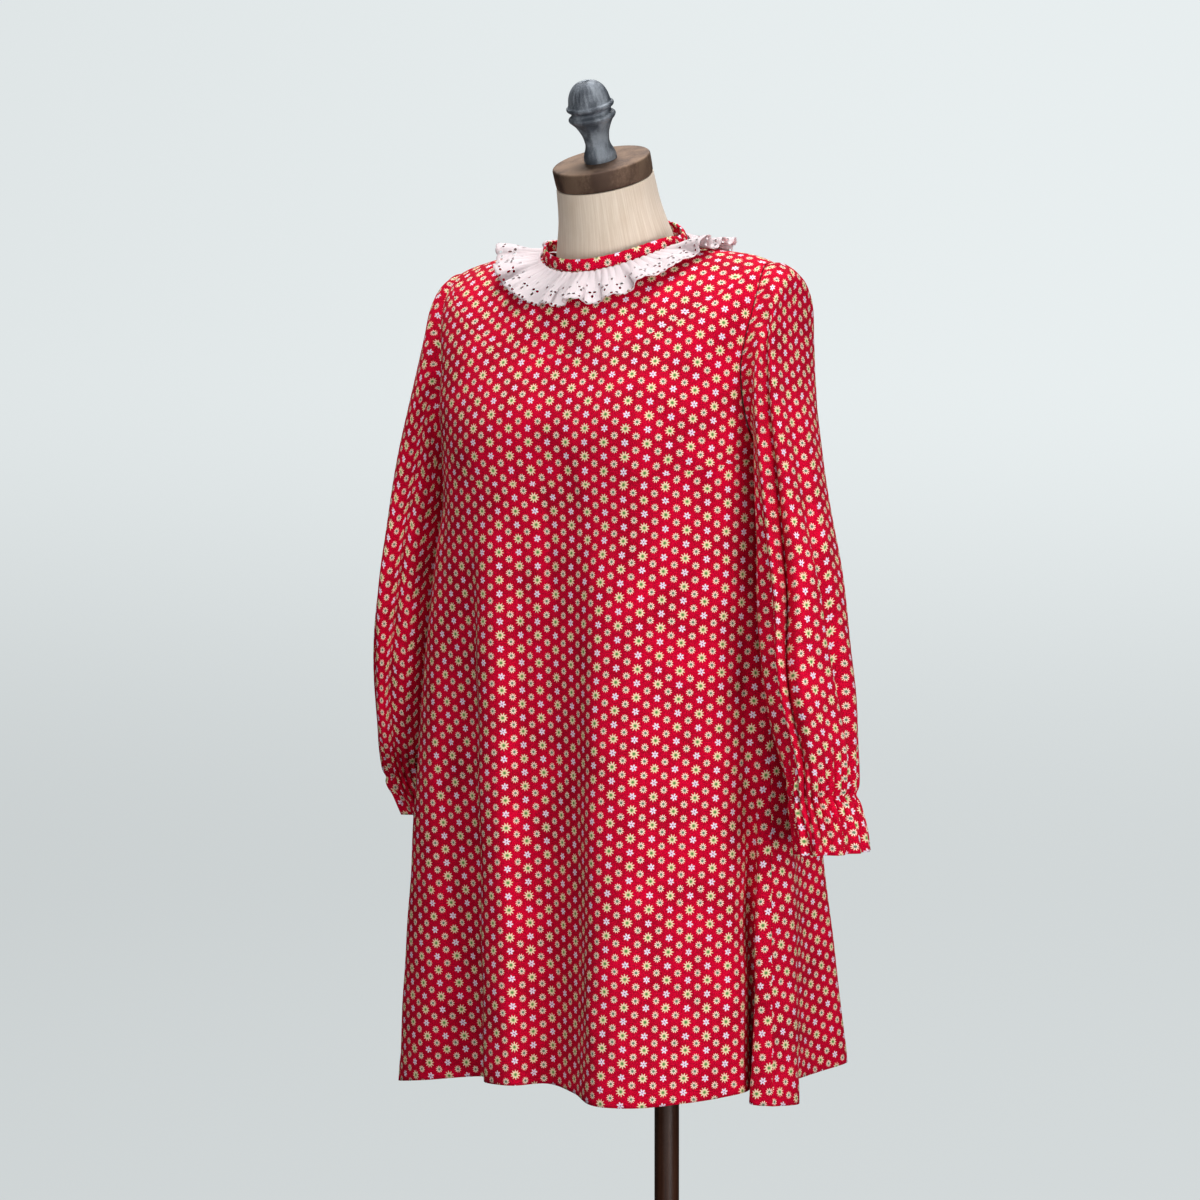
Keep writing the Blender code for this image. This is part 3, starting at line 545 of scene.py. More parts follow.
number, vector, colour = "NodeSocketFloat", "NodeSocketVector", "NodeSocketColor"


def makeWeaveGroup():
    # plain weave with slubs: Height for a bump and Tone for a faint change of colour
    tree, given, out = shaderGroup(
        "clothWeave", dict(Vector=(vector, None), Threads=(number, 2400.0), Slub=(number, 0.3)),
        dict(Height=number, Tone=number))
    u, v, _ = split(tree, given["Vector"])
    turns = times(tree, given["Threads"], 2 * math.pi)
    warp = maths(tree, "SINE", times(tree, u, turns))
    weft = maths(tree, "SINE", times(tree, v, turns))
    slubAlong = noise(tree, stretched(tree, given["Vector"], (900, 60, 1)), 1.0, 2.0)
    slubAcross = noise(tree, stretched(tree, given["Vector"], (60, 900, 1)), 1.0, 2.0)
    slubs = plus(tree, slubAlong, slubAcross)
    weave = scaled(tree, plus(tree, warp, weft), 0.25, 0.5)
    connect(tree, out["Height"], scaled(tree, slubs, given["Slub"], weave))
    broad = noise(tree, given["Vector"], 9.0, 4.0, 0.6)
    connect(tree, out["Tone"], plus(tree, scaled(tree, slubs, 0.35, -0.35), scaled(tree, broad, 0.9, -0.45)))
    return tree


def makeMotifGroup():
    # one flower in polar form: petals of a given number, length, waist and point
    tree, given, out = shaderGroup(
        "flowerMotif",
        dict(X=(number, 0.0), Y=(number, 0.0), Petals=(number, 8.0), Radius=(number, 0.005),
             Waist=(number, 0.5), Point=(number, 1.0), Turn=(number, 0.0), Edge=(number, 0.0003)),
        dict(Mask=number))
    reach = lengthFromZero(tree, given["X"], given["Y"])
    angle = plus(tree, maths(tree, "ARCTAN2", given["Y"], given["X"]), given["Turn"])
    half = times(tree, given["Petals"], 0.5)
    petal = maths(tree, "ABSOLUTE", maths(tree, "COSINE", times(tree, angle, half)))
    petal = maths(tree, "POWER", petal, given["Point"])
    share = scaled(tree, minus(tree, 1.0, given["Waist"]), petal, given["Waist"])
    rim = times(tree, share, given["Radius"])
    low, high = minus(tree, rim, given["Edge"]), plus(tree, rim, given["Edge"])
    connect(tree, out["Mask"], ramp(tree, reach, low, high, 1.0, 0.0))
    return tree


# The flower print, as charted: two kinds of flower in turn down each column, and small ones between.
flowers = dict(
    columnGap=0.0214, rowGap=0.0140, wobble=0.0009,
    ground=(0.760, 0.0002, 0.036, 1.0), groundDeep=(0.260, 0.0001, 0.011, 1.0),
    # scale and weight of the ground's fine and broad unevenness, and the range over which it deepens
    fineGround=(780.0, 0.80), broadGround=(26.0, 0.35), deepens=(0.42, 0.76),
    daisy=srgb(240, 222, 190), daisyRing=srgb(210, 202, 142), daisyHeart=srgb(84, 132, 72),
    lilac=srgb(236, 222, 238), lilacHeart=srgb(120, 84, 122),
    cream=srgb(244, 230, 208), creamHeart=srgb(100, 122, 96),
    daisyRadius=0.0049, daisyVaries=0.0006,
    # petals, radius, waist and point
    innerPetals=(10.0, 0.0034, 0.62, 1.0), ringShape=(5.0, 0.0024, 0.86, 1.0),
    heartShape=(5.0, 0.00145, 0.8, 1.0),
    lilacShape=(6.0, 0.0037, 0.20, 0.75), lilacHeartShape=(5.0, 0.0008, 0.7, 1.0),
    creamShape=(10.0, 0.0038, 0.36, 1.3), creamHeartShape=(5.0, 0.0015, 0.80, 1.0),
)


def makePrintGroup(motif):
    tree, given, out = shaderGroup("flowerPrint", dict(Vector=(vector, None)), dict(Color=colour))
    u, v, _ = split(tree, given["Vector"])
    wobble = scaled(tree, noise(tree, given["Vector"], 700.0, 1.0), flowers["wobble"], -flowers["wobble"] / 2)
    across = maths(tree, "DIVIDE", u, flowers["columnGap"])
    along = maths(tree, "DIVIDE", v, flowers["rowGap"])

    def cell(shift):
        # the nearest flower's column and row, the way from its middle, and a number of its own from 0 to 1
        i = plus(tree, maths(tree, "ROUND", minus(tree, across, shift)), shift)
        j = plus(tree, maths(tree, "ROUND", minus(tree, along, shift)), shift)
        x = times(tree, minus(tree, across, i), flowers["columnGap"])
        y = times(tree, minus(tree, along, j), flowers["rowGap"])
        rand = tree.nodes.new("ShaderNodeTexWhiteNoise")
        rand.noise_dimensions = "3D"
        connect(tree, rand.inputs["Vector"], joined(tree, i, j, 0.3))
        return i, j, plus(tree, x, wobble), minus(tree, y, wobble), rand.outputs["Value"]

    def flower(x, y, turn, shape, edge=0.00028):
        petals, radius, waist, point = shape
        shape = dict(Petals=petals, Radius=radius, Waist=waist, Point=point)
        return placed(tree, motif, X=x, Y=y, Turn=turn, Edge=edge, **shape)["Mask"]

    i, j, x, y, chance = cell(0.0)
    turns = maths(tree, "ABSOLUTE", maths(tree, "MODULO", plus(tree, i, j), 2.0))
    isOdd = maths(tree, "GREATER_THAN", turns, 0.5)
    isEven = minus(tree, 1.0, isOdd)
    daisyRadius = scaled(tree, chance, flowers["daisyVaries"], flowers["daisyRadius"])
    spikes = flower(x, y, times(tree, chance, 6.0), (10.0, daisyRadius, 0.24, 1.7))
    inner = flower(x, y, scaled(tree, chance, 6.0, 0.39), flowers["innerPetals"])
    daisy = times(tree, maths(tree, "MAXIMUM", spikes, inner), isEven)
    ring = times(tree, flower(x, y, 0.0, flowers["ringShape"]), isEven)
    heart = times(tree, flower(x, y, 0.4, flowers["heartShape"]), isEven)
    lilac = times(tree, flower(x, y, times(tree, chance, 3.0), flowers["lilacShape"]), isOdd)
    lilacHeart = times(tree, flower(x, y, 0.0, flowers["lilacHeartShape"], 0.0004), isOdd)
    _, _, x2, y2, chance2 = cell(0.5)
    cream = flower(x2, y2, times(tree, chance2, 6.0), flowers["creamShape"])
    creamHeart = flower(x2, y2, 0.0, flowers["creamHeartShape"])
    (fineScale, fineShare), (broadScale, broadShare) = flowers["fineGround"], flowers["broadGround"]
    broad = times(tree, noise(tree, given["Vector"], broadScale, 3.0), broadShare)
    uneven = scaled(tree, noise(tree, given["Vector"], fineScale, 2.0), fineShare, broad)
    result = mixed(tree, ramp(tree, uneven, *flowers["deepens"]), flowers["ground"], flowers["groundDeep"])
    for mask, key in ((daisy, "daisy"), (ring, "daisyRing"), (heart, "daisyHeart"), (lilac, "lilac"),
                      (lilacHeart, "lilacHeart"), (cream, "cream"), (creamHeart, "creamHeart")):
        result = mixed(tree, mask, result, flowers[key])
    connect(tree, out["Color"], result)
    return tree


# The eyelet work's holes: along a repeat from its middle, down from the neck edge, then width and height in
# hole sizes. There are a group of three, three near the scalloped edge and a single one above.
eyelet = dict(
    repeat=0.0190, size=0.00135,
    holes=((-0.0030, 0.0300, 1.5, 1.0), (0.0030, 0.0300, 1.5, 1.0), (0.0, 0.0352, 1.0, 1.5),
           (-0.0068, 0.0432, 1.3, 1.0), (0.0068, 0.0432, 1.3, 1.0), (0.0, 0.0452, 1.0, 1.0),
           (-0.0085, 0.0215, 1.0, 1.3)),
)


def makeEyeletGroup():
    # cut holes with worked rims
    tree, given, out = shaderGroup(
        "eyeletWork", dict(Vector=(vector, None), Repeat=(number, 0.019), Size=(number, 0.00125)),
        dict(Hole=number, Rim=number))
    u, v, _ = split(tree, given["Vector"])
    inCell = maths(tree, "FLOORED_MODULO", u, given["Repeat"])
    inCell = minus(tree, inCell, times(tree, given["Repeat"], 0.5))
    nearest = None
    for holeAcross, holeDown, wide, tall in eyelet["holes"]:
        dx = maths(tree, "DIVIDE", minus(tree, inCell, holeAcross), wide)
        dy = maths(tree, "DIVIDE", minus(tree, v, holeDown), tall)
        away = lengthFromZero(tree, dx, dy)
        nearest = away if nearest is None else maths(tree, "MINIMUM", nearest, away)
    away = minus(tree, nearest, given["Size"])
    connect(tree, out["Hole"], ramp(tree, away, -0.0001, 0.0001, 1.0, 0.0))
    rimUp = ramp(tree, away, 0.0, 0.0003)
    connect(tree, out["Rim"], times(tree, rimUp, ramp(tree, away, 0.0005, 0.0010, 1.0, 0.0)))
    return tree


def makeAgedGroup():
    # worn and dull patches of old metal and paint
    tree, given, out = shaderGroup(
        "agedSurface", dict(Vector=(vector, None), Scale=(number, 30.0), Streak=(number, 1.0)),
        dict(Wear=number, Dull=number, Height=number))
    x, y, z = split(tree, given["Vector"])
    streaked = joined(tree, x, y, times(tree, z, given["Streak"]))
    patches = noise(tree, streaked, given["Scale"], 5.0, 0.6)
    specks = noise(tree, given["Vector"], times(tree, given["Scale"], 14.0), 3.0, 0.65)
    connect(tree, out["Wear"], ramp(tree, scaled(tree, specks, 0.35, patches), 0.55, 0.86))
    connect(tree, out["Dull"], patches)
    connect(tree, out["Height"], scaled(tree, patches, 0.5, specks))
    return tree


weaveGroup = makeWeaveGroup()
motifGroup = makeMotifGroup()
printGroup = makePrintGroup(motifGroup)
eyeletGroup = makeEyeletGroup()
agedGroup = makeAgedGroup()


def newFinish(name, roughness, metallic=0.0):
    finish = bpy.data.materials.new(name)
    finish.use_nodes = True
    shader = finish.node_tree.nodes["Principled BSDF"]
    shader.inputs["Roughness"].default_value = roughness
    shader.inputs["Metallic"].default_value = metallic
    return finish, finish.node_tree, shader


def setInputs(shader, **values):
    # SheenWeight sets the input named Sheen Weight, and so on
    for socket in shader.inputs:
        if socket.name.replace(" ", "") in values:
            socket.default_value = values[socket.name.replace(" ", "")]


def bumpInto(tree, shader, height, strength, distance):
    node = tree.nodes.new("ShaderNodeBump")
    node.inputs["Strength"].default_value = strength
    node.inputs["Distance"].default_value = distance
    connect(tree, node.inputs["Height"], height)
    connect(tree, shader.inputs["Normal"], node.outputs[0])


def flatPlace(tree):
    node = tree.nodes.new("ShaderNodeUVMap")
    node.uv_map = "clothFlat"
    return node.outputs[0]


def solidPlace(tree):
    return tree.nodes.new("ShaderNodeNewGeometry").outputs["Position"]


cotton = dict(threads=2300.0, slub=0.35, toneTint=srgb(150, 10, 30), toneShare=0.16, weaveBump=0.10,
              reverseTint=srgb(204, 92, 100), reverseShare=0.45, sheenTint=(0.9, 0.3, 0.4, 1))


def makeFlowered(name, reverse=False, darts=()):
    finish, tree, shader = newFinish(name, 0.86)
    place = flatPlace(tree)
    printed = placed(tree, printGroup, Vector=place)["Color"]
    weave = placed(tree, weaveGroup, Vector=place, Threads=cotton["threads"], Slub=cotton["slub"])
    tone = scaled(tree, weave["Tone"], 0.5, 0.35, clamp=True)
    toned = mixed(tree, tone, printed, cotton["toneTint"], "MULTIPLY")
    toned = mixed(tree, cotton["toneShare"], printed, toned)
    if reverse:
        toned = mixed(tree, cotton["reverseShare"], toned, cotton["reverseTint"])
    connect(tree, shader.inputs["Base Color"], toned)
    height = times(tree, weave["Height"], cotton["weaveBump"])
    for start, end in darts:
        height = minus(tree, height, seamLine(tree, place, start, end))
    bumpInto(tree, shader, height, 0.55, 0.0012)
    setInputs(shader, SheenWeight=0.012, SheenRoughness=0.6, SheenTint=cotton["sheenTint"],
              SpecularIORLevel=0.08)
    return finish


def seamLine(tree, place, start, end, width=0.0011):
    # a pressed groove along a sewn line in flat cloth
    start, end = Vector(start), Vector(end)
    way = (end - start).normalized()
    u, v, _ = split(tree, place)
    du, dv = minus(tree, u, start[0]), minus(tree, v, start[1])
    aside = plus(tree, times(tree, du, -way[1]), times(tree, dv, way[0]))
    along = plus(tree, times(tree, du, way[0]), times(tree, dv, way[1]))
    groove = ramp(tree, maths(tree, "ABSOLUTE", aside), 0.0, width, 1.0, 0.0)
    length = (end - start).length
    ends = times(tree, ramp(tree, along, -0.002, 0.012), ramp(tree, along, length, length + 0.002, 1.0, 0.0))
    return times(tree, groove, ends)


# The front panel. Creases are pressed in where the cloth pulls; share runs from the right seam to the left.
front = dict(
    columns=160, cutWidth=0.78, cutLength=0.93, cutArea=0.49, printShift=(0.0, 0.0),
    dart=((0.790, 0.262), (1.0, 0.340)),
    # depth, spread, then share and drop of the points along each; a negative depth is a ridge
    creases=(
        (0.0030, 0.013, ((0.725, 0.204), (0.775, 0.232), (0.815, 0.256), (0.860, 0.282))),
        (-0.0022, 0.010, ((0.760, 0.276), (0.820, 0.300), (0.900, 0.330))),
        (0.0022, 0.016, ((0.738, 0.110), (0.765, 0.144), (0.802, 0.172), (0.823, 0.222))),
        (0.0014, 0.016, ((0.530, 0.110), (0.575, 0.144), (0.620, 0.182))),
        (0.0030, 0.010, ((0.468, 0.292), (0.477, 0.348), (0.485, 0.392), (0.532, 0.454))),
        (-0.0022, 0.010, ((0.565, 0.262), (0.573, 0.312), (0.573, 0.350))),
        (0.0028, 0.016, ((0.755, 0.280), (0.800, 0.328), (0.838, 0.364), (0.915, 0.404))),
        (0.0040, 0.011, ((0.233, 0.580), (0.245, 0.720), (0.260, 0.852), (0.285, 0.962))),
        (-0.0030, 0.013, ((0.760, 0.700), (0.765, 0.832), (0.760, 0.962))),
        (0.0020, 0.012, ((0.720, 0.720), (0.724, 0.840), (0.722, 0.962))),
        (-0.0018, 0.009, ((0.608, 0.800), (0.620, 0.962))),
        (0.0020, 0.012, ((0.150, 0.300), (0.210, 0.420), (0.240, 0.600))),
    ),
)


def rowPlaces(grid, shares, middle):
    # each row's length, and how far across and down its panel each point lies
    row = np.array([lengthOf(line) for line in grid])
    return row, (shares[None, :] - middle) * row[:, None], np.repeat(levels[:, None], len(shares), axis=1)


def frontDetail(grid, shares, seed):
    row, across, along = rowPlaces(grid, shares, 0.5)
    move = np.zeros(across.shape)
    for depth, spread, points in front["creases"]:
        ways = [((s - 0.5) * np.interp(d, levels, row), d) for s, d in points]
        move -= depth * lineWeights(across, along, ways, spread)
    return move + pressedEdges(row, shares) + softWaves(across, along, seed, 0.0007, 0.05, 0.16)


hemStitchDrop = body["hemDrop"] - body["hemAllowance"]


def pressedEdges(row, shares):
    # the seams draw their edges in slightly, and the hem has a faint line where it is stitched
    edge = np.minimum(shares, 1 - shares)[None, :] * row[:, None]
    hem = np.exp(-(((levels - hemStitchDrop) / 0.004) ** 2))[:, None]
    return -0.0006 * np.exp(-((edge / 0.0022) ** 2)) - 0.0004 * hem


def edgesKept(move, shares):
    # panels still meet at their seams: nothing but the seam's own dip moves an edge
    keep = easeIn(np.minimum(shares, 1 - shares), 0.0, 0.02)
    return move * keep[None, :]


def pulledIn(grid, left=True, right=True, by=body["seamGap"] / 2):
    grid = grid.copy()
    for use, edge, inside in ((left, 0, 3), (right, -1, -4)):
        if use:
            way = grid[:, inside] - grid[:, edge]
            grid[:, edge] += by * way / np.linalg.norm(way, axis=1, keepdims=True)
    return grid


def hemWeight(shape):
    # 1 where the hem is doubled, 0 above it
    weight = easeIn(levels, hemStitchDrop - 0.002, hemStitchDrop + 0.002)
    return np.repeat(weight[:, None], shape[1], axis=1)


# The two backs, with the neck slit between them. The seam between them runs with the thread.
backs = dict(columns=78, cutWidth=0.45, cutLength=0.965, cutArea=0.295, printShift=(0.005, 0.004),
             unevenness=0.0009)


def backDetail(grid, shares, seed):
    row, across, along = rowPlaces(grid, shares, 0.0)
    return pressedEdges(row, shares) + softWaves(across, along, seed, backs["unevenness"], 0.05, 0.18)


def sharedWays(grids):
    # the way out of the cloth at each point, shared where panels are sewn together, so that seams stay even
    ways = {key: gridNormals(grid) for key, grid in grids.items()}
    middle = len(levels) // 2
    for key, grid in grids.items():
        ways[key] *= np.sign((ways[key][middle] * (grid[middle] - poleAt(grid[middle]))).sum())
    edgeWays = dict(left=(ways["front"][:, -1], ways["left"][:, 0]),
                    right=(ways["front"][:, 0], ways["right"][:, -1]))
    besideArmhole = (levels > body["shoulderDrop"] + 1e-9) & (levels < body["underarmDrop"] - 1e-9)
    for one, other in (("front", "left"), ("left", "right"), ("right", "front")):
        mean = ways[one][:, -1] + ways[other][:, 0]
        mean /= np.linalg.norm(mean, axis=1, keepdims=True)
        sewn = ~besideArmhole if "front" in (one, other) else np.ones(len(levels), bool)
        ways[one][sewn, -1] = mean[sewn]
        ways[other][sewn, 0] = mean[sewn]
    return ways, edgeWays


def makePanels():
    frontShares = closeShares(front["columns"])
    backShares = closeShares(backs["columns"])
    grids = dict(front=panelGrid("front", frontShares), left=panelGrid("back", backShares, last=0.5),
                 right=panelGrid("back", backShares, first=0.5))
    edges = dict(left=(grids["front"][:, -1].copy(), grids["left"][:, 0].copy()),
                 right=(grids["front"][:, 0].copy(), grids["right"][:, -1].copy()))
    flats = {}
    middle = frontShares.size // 2
    for key, column, spec in (("front", middle, front), ("left", -1, backs), ("right", 0, backs)):
        flats[key] = threadStraight(flattenCloth(grids[key]), column, spec["printShift"])
        size = (*np.ptp(flats[key].reshape(-1, 2), axis=0), areaOf(grids[key]))
        print("panel", key, "lies flat in %.3f x %.3f m, area %.3f m2" % size)
    ways, edgeWays = sharedWays(grids)
    frontMove = edgesKept(frontDetail(grids["front"], frontShares, 5), frontShares)
    shaped = pulledIn(grids["front"]) + ways["front"] * frontMove[:, :, None]
    flowered = makeFlowered("floweredCotton")
    floweredFront = makeFlowered("floweredCottonDarted", darts=dartLines(flats["front"], frontShares))
    inside = makeFlowered("floweredCottonReverse", reverse=True)
    pieces = {"front": clothPiece("dressFront", shaped, flats["front"], floweredFront, inside, body["cloth"],
                                  heavy=hemWeight(shaped.shape))}
    slit = np.where(levels < body["slitLength"], body["slitGap"] / 2, body["seamGap"] / 2).reshape(-1, 1)
    for key, seed in (("left", 11), ("right", 12)):
        isLeft = key == "left"
        grid = pulledIn(grids[key], left=isLeft, right=not isLeft)
        grid = pulledIn(grid, left=not isLeft, right=isLeft, by=slit)
        move = edgesKept(backDetail(grids[key], backShares, seed), backShares)
        shaped = grid + ways[key] * move[:, :, None]
        pieces[key] = clothPiece("dressBack" + key.capitalize(), shaped, flats[key], flowered, inside,
                                 body["cloth"], heavy=hemWeight(grid.shape))
    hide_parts("dress_front")
    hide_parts("dress_back_left")
    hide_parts("dress_back_right")
    return edges, edgeWays, flowered, inside


def dartLines(flat, shares):
    # the two darts as lines in flat cloth, the right one mirrored from the left
    lines = []
    for mirror in (False, True):
        ends = []
        for share, drop in front["dart"]:
            share = 1 - share if mirror else share
            column = int(np.abs(shares - share).argmin())
            ends.append([np.interp(drop, levels, flat[:, column, k]) for k in range(2)])
        lines.append(ends)
    return lines


edges, edgeWays, flowered, floweredInside = makePanels()
print("body: front and two backs made")

# Sleeves. A row gives the outer and inner line of the hanging tube, its middle and half depth front to back.
sleeves = dict(
    columns=200, wall=0.0011, cutWidth=0.50, cutLength=0.61, cutArea=0.17, printWidth=0.3864,
    capPrintWidth=0.44,
    # puffs round the cap, where they begin and fade on the way down, and the cosines over which they come in
    capFolds=23, capFoldDepth=0.0013, capStart=(0.001, 0.010), capFade=(0.018, 0.085), capPart=(-0.55, 0.1),
    # puffs above the elastic, how far up they reach, and what is left of them in the frill
    cuffFolds=27, cuffFoldDepth=0.0042, cuffReach=0.075, leftInFrill=0.28,
    frillWaves=11, frillDepth=0.0046, elasticRow=12, elasticPinch=0.0028, elasticWidth=0.0050,
    unevenness=0.0008,
    # xOuter, zOuter, xInner, zInner, yMiddle, halfDepth, foldShare, armholeShare
    left=(
        (0.2200, 1.3800, 0.1875, 1.1760, -0.107, 0.0560, 0.10, 0.72),
        (0.2280, 1.3660, 0.1885, 1.1640, -0.109, 0.0660, 0.25, 0.50),
        (0.2200, 1.3280, 0.1900, 1.1440, -0.113, 0.0710, 0.45, 0.24),
        (0.2210, 1.2700, 0.1905, 1.1170, -0.118, 0.0695, 0.65, 0.08),
        (0.2332, 1.2050, 0.1905, 1.0840, -0.123, 0.0670, 0.80, 0.02),
        (0.2489, 1.1350, 0.1915, 1.0440, -0.129, 0.0640, 0.95, 0.0),
        (0.2644, 1.0700, 0.1960, 1.0030, -0.134, 0.0650, 1.00, 0.0),
        (0.2749, 1.0050, 0.2040, 0.9600, -0.139, 0.0700, 1.00, 0.0),
        (0.2850, 0.9450, 0.2140, 0.9180, -0.143, 0.0660, 0.90, 0.0),
        (0.2906, 0.8960, 0.2250, 0.8830, -0.146, 0.0520, 0.55, 0.0),
        (0.2890, 0.8660, 0.2360, 0.8610, -0.147, 0.0480, 0.15, 0.0),
        (0.2885, 0.8530, 0.2365, 0.8500, -0.147, 0.0460, 0.00, 0.0),
        (0.2930, 0.8400, 0.2390, 0.8380, -0.148, 0.0460, 0.00, 0.0),
        (0.3000, 0.8180, 0.2430, 0.8160, -0.149, 0.0450, 0.00, 0.0),
        (0.3030, 0.7980, 0.2460, 0.7970, -0.150, 0.0450, 0.00, 0.0),
    ),
    right=(
        (0.2150, 1.3770, 0.1875, 1.1760, -0.107, 0.0540, 0.10, 0.72),
        (0.2200, 1.3600, 0.1890, 1.1640, -0.108, 0.0580, 0.25, 0.50),
        (0.2200, 1.3220, 0.1920, 1.1440, -0.110, 0.0600, 0.45, 0.24),
        (0.2297, 1.2650, 0.1960, 1.1170, -0.113, 0.0600, 0.65, 0.08),
        (0.2440, 1.2000, 0.2000, 1.0840, -0.116, 0.0600, 0.80, 0.02),
        (0.2553, 1.1320, 0.2040, 1.0440, -0.119, 0.0610, 0.95, 0.0),
        (0.2658, 1.0680, 0.2090, 1.0010, -0.118, 0.0620, 1.00, 0.0),
        (0.2751, 1.0040, 0.2170, 0.9570, -0.111, 0.0630, 1.00, 0.0),
        (0.2845, 0.9420, 0.2270, 0.9150, -0.098, 0.0610, 0.90, 0.0),
        (0.2925, 0.8900, 0.2380, 0.8790, -0.083, 0.0520, 0.55, 0.0),
        (0.2950, 0.8620, 0.2500, 0.8590, -0.072, 0.0420, 0.15, 0.0),
        (0.2960, 0.8500, 0.2510, 0.8480, -0.067, 0.0400, 0.00, 0.0),
        (0.2940, 0.8390, 0.2480, 0.8370, -0.063, 0.0410, 0.00, 0.0),
        (0.2870, 0.8240, 0.2430, 0.8220, -0.057, 0.0430, 0.00, 0.0),
        (0.2800, 0.8100, 0.2400, 0.8080, -0.051, 0.0450, 0.00, 0.0),
    ),
    # valleys down a sleeve: angle from its outer line towards its front, at the cap, halfway and at the cuff,
    # then depth and half width in degrees
    leftFolds=((104, 112, 116, 0.0260, 23), (56, 62, 80, 0.0300, 9), (30, 12, -14, 0.0120, 9),
               (-62, -64, -66, 0.0060, 16), (205, 205, 205, 0.0060, 16), (252, 252, 252, 0.0100, 16),
               (300, 300, 300, 0.0085, 15)),
    rightFolds=((46, 54, 60, 0.0080, 13), (96, 104, 108, 0.0130, 15), (-12, -20, -26, 0.0070, 14),
                (205, 205, 205, 0.0050, 16), (250, 250, 250, 0.0090, 16), (298, 298, 298, 0.0090, 15)),
)


def armholeLoop(side):
    # the armhole's own edge a seam's gap off, from the shoulder down the front and up the back
    sign = 1 if side == "left" else -1
    (frontEdge, backEdge), (frontWay, backWay) = edges[side], edgeWays[side]
    low, high = body["shoulderDrop"] - 1e-9, body["underarmDrop"] + 1e-9
    rows = [i for i, drop in enumerate(levels) if low <= drop <= high]
    back = rows[-2:0:-1]
    edge = np.concatenate([frontEdge[rows], backEdge[back]])
    out = np.concatenate([frontWay[rows], backWay[back]])
    out = out * np.sign(out[:, :1]) * sign
    along = np.roll(edge, -1, axis=0) - np.roll(edge, 1, axis=0)
    aside = np.cross(along, out)
    aside /= np.linalg.norm(aside, axis=1, keepdims=True)
    aside *= np.sign((aside * (edge.mean(axis=0) - edge)).sum(axis=1, keepdims=True))
    lower = (1 - np.cos(2 * math.pi * np.arange(len(edge)) / len(edge))) / 2
    gap = body["seamGap"] + body["cloth"] / 2
    points = edge + aside * gap + out * (body["seamGap"] + body["cloth"]) * lower[:, None]
    share = sleeves["columns"] // len(points)
    fine = [points + (np.roll(points, -1, axis=0) - points) * k / share for k in range(share)]
    return np.stack(fine, axis=1).reshape(-1, 3)


def gatherFolds(turn, count, seed):
    # uneven rounded puffs with pinched valleys between, from -1 to 1
    rng = np.random.default_rng(seed)
    phase = count * turn
    for k in range(1, 7):
        phase = phase + rng.uniform(0.15, 0.75) * np.sin(k * turn + rng.uniform(0, 6.28))
    return 2 * np.abs(np.sin(phase / 2)) - 1


def sleeveRings(side):
    # the sleeve's table from the armhole down, read at close steps, and the armhole that it grows from
    loop = armholeLoop(side)
    table = np.array(sleeves[side])
    table = np.vstack([table[0], table])
    table[0, 6:8] = 0.0, 1.0  # the armhole itself has no folds
    outer = np.vstack([np.abs(loop[0]), np.column_stack([table[1:, 0], -table[1:, 4], table[1:, 1]])])
    underarm = np.abs(loop[len(loop) // 2])
    inner = np.vstack([underarm, np.column_stack([table[1:, 2], -table[1:, 4], table[1:, 3]])])
    knots = sumsSoFar((gaps(outer) + gaps(inner)) / 2)
    total = knots[-1]
    at = np.concatenate([np.linspace(0, 0.05, 21), np.linspace(0.05, total - 0.10, 96)[1:],
                         np.linspace(total - 0.10, total, 47)[1:]])
    return loop, at, smooth(knots, table, at), knots[sleeves["elasticRow"]]


def sleeveFolds(side, turn, share, foldShare, reach):
    # the long valleys, which drift round the sleeve on their way down
    move = np.zeros(turn.size)
    for capAngle, middleAngle, cuffAngle, depth, spread in sleeves[side + "Folds"]:
        angle = np.interp(share, (0.0, 0.5, 0.9), (capAngle, middleAngle, cuffAngle))
        away = (np.degrees(turn) - angle + 180) % 360 - 180
        move -= foldShare * min(1.0, reach / 0.03) * depth * np.exp(-((away / spread) ** 2))
    return move


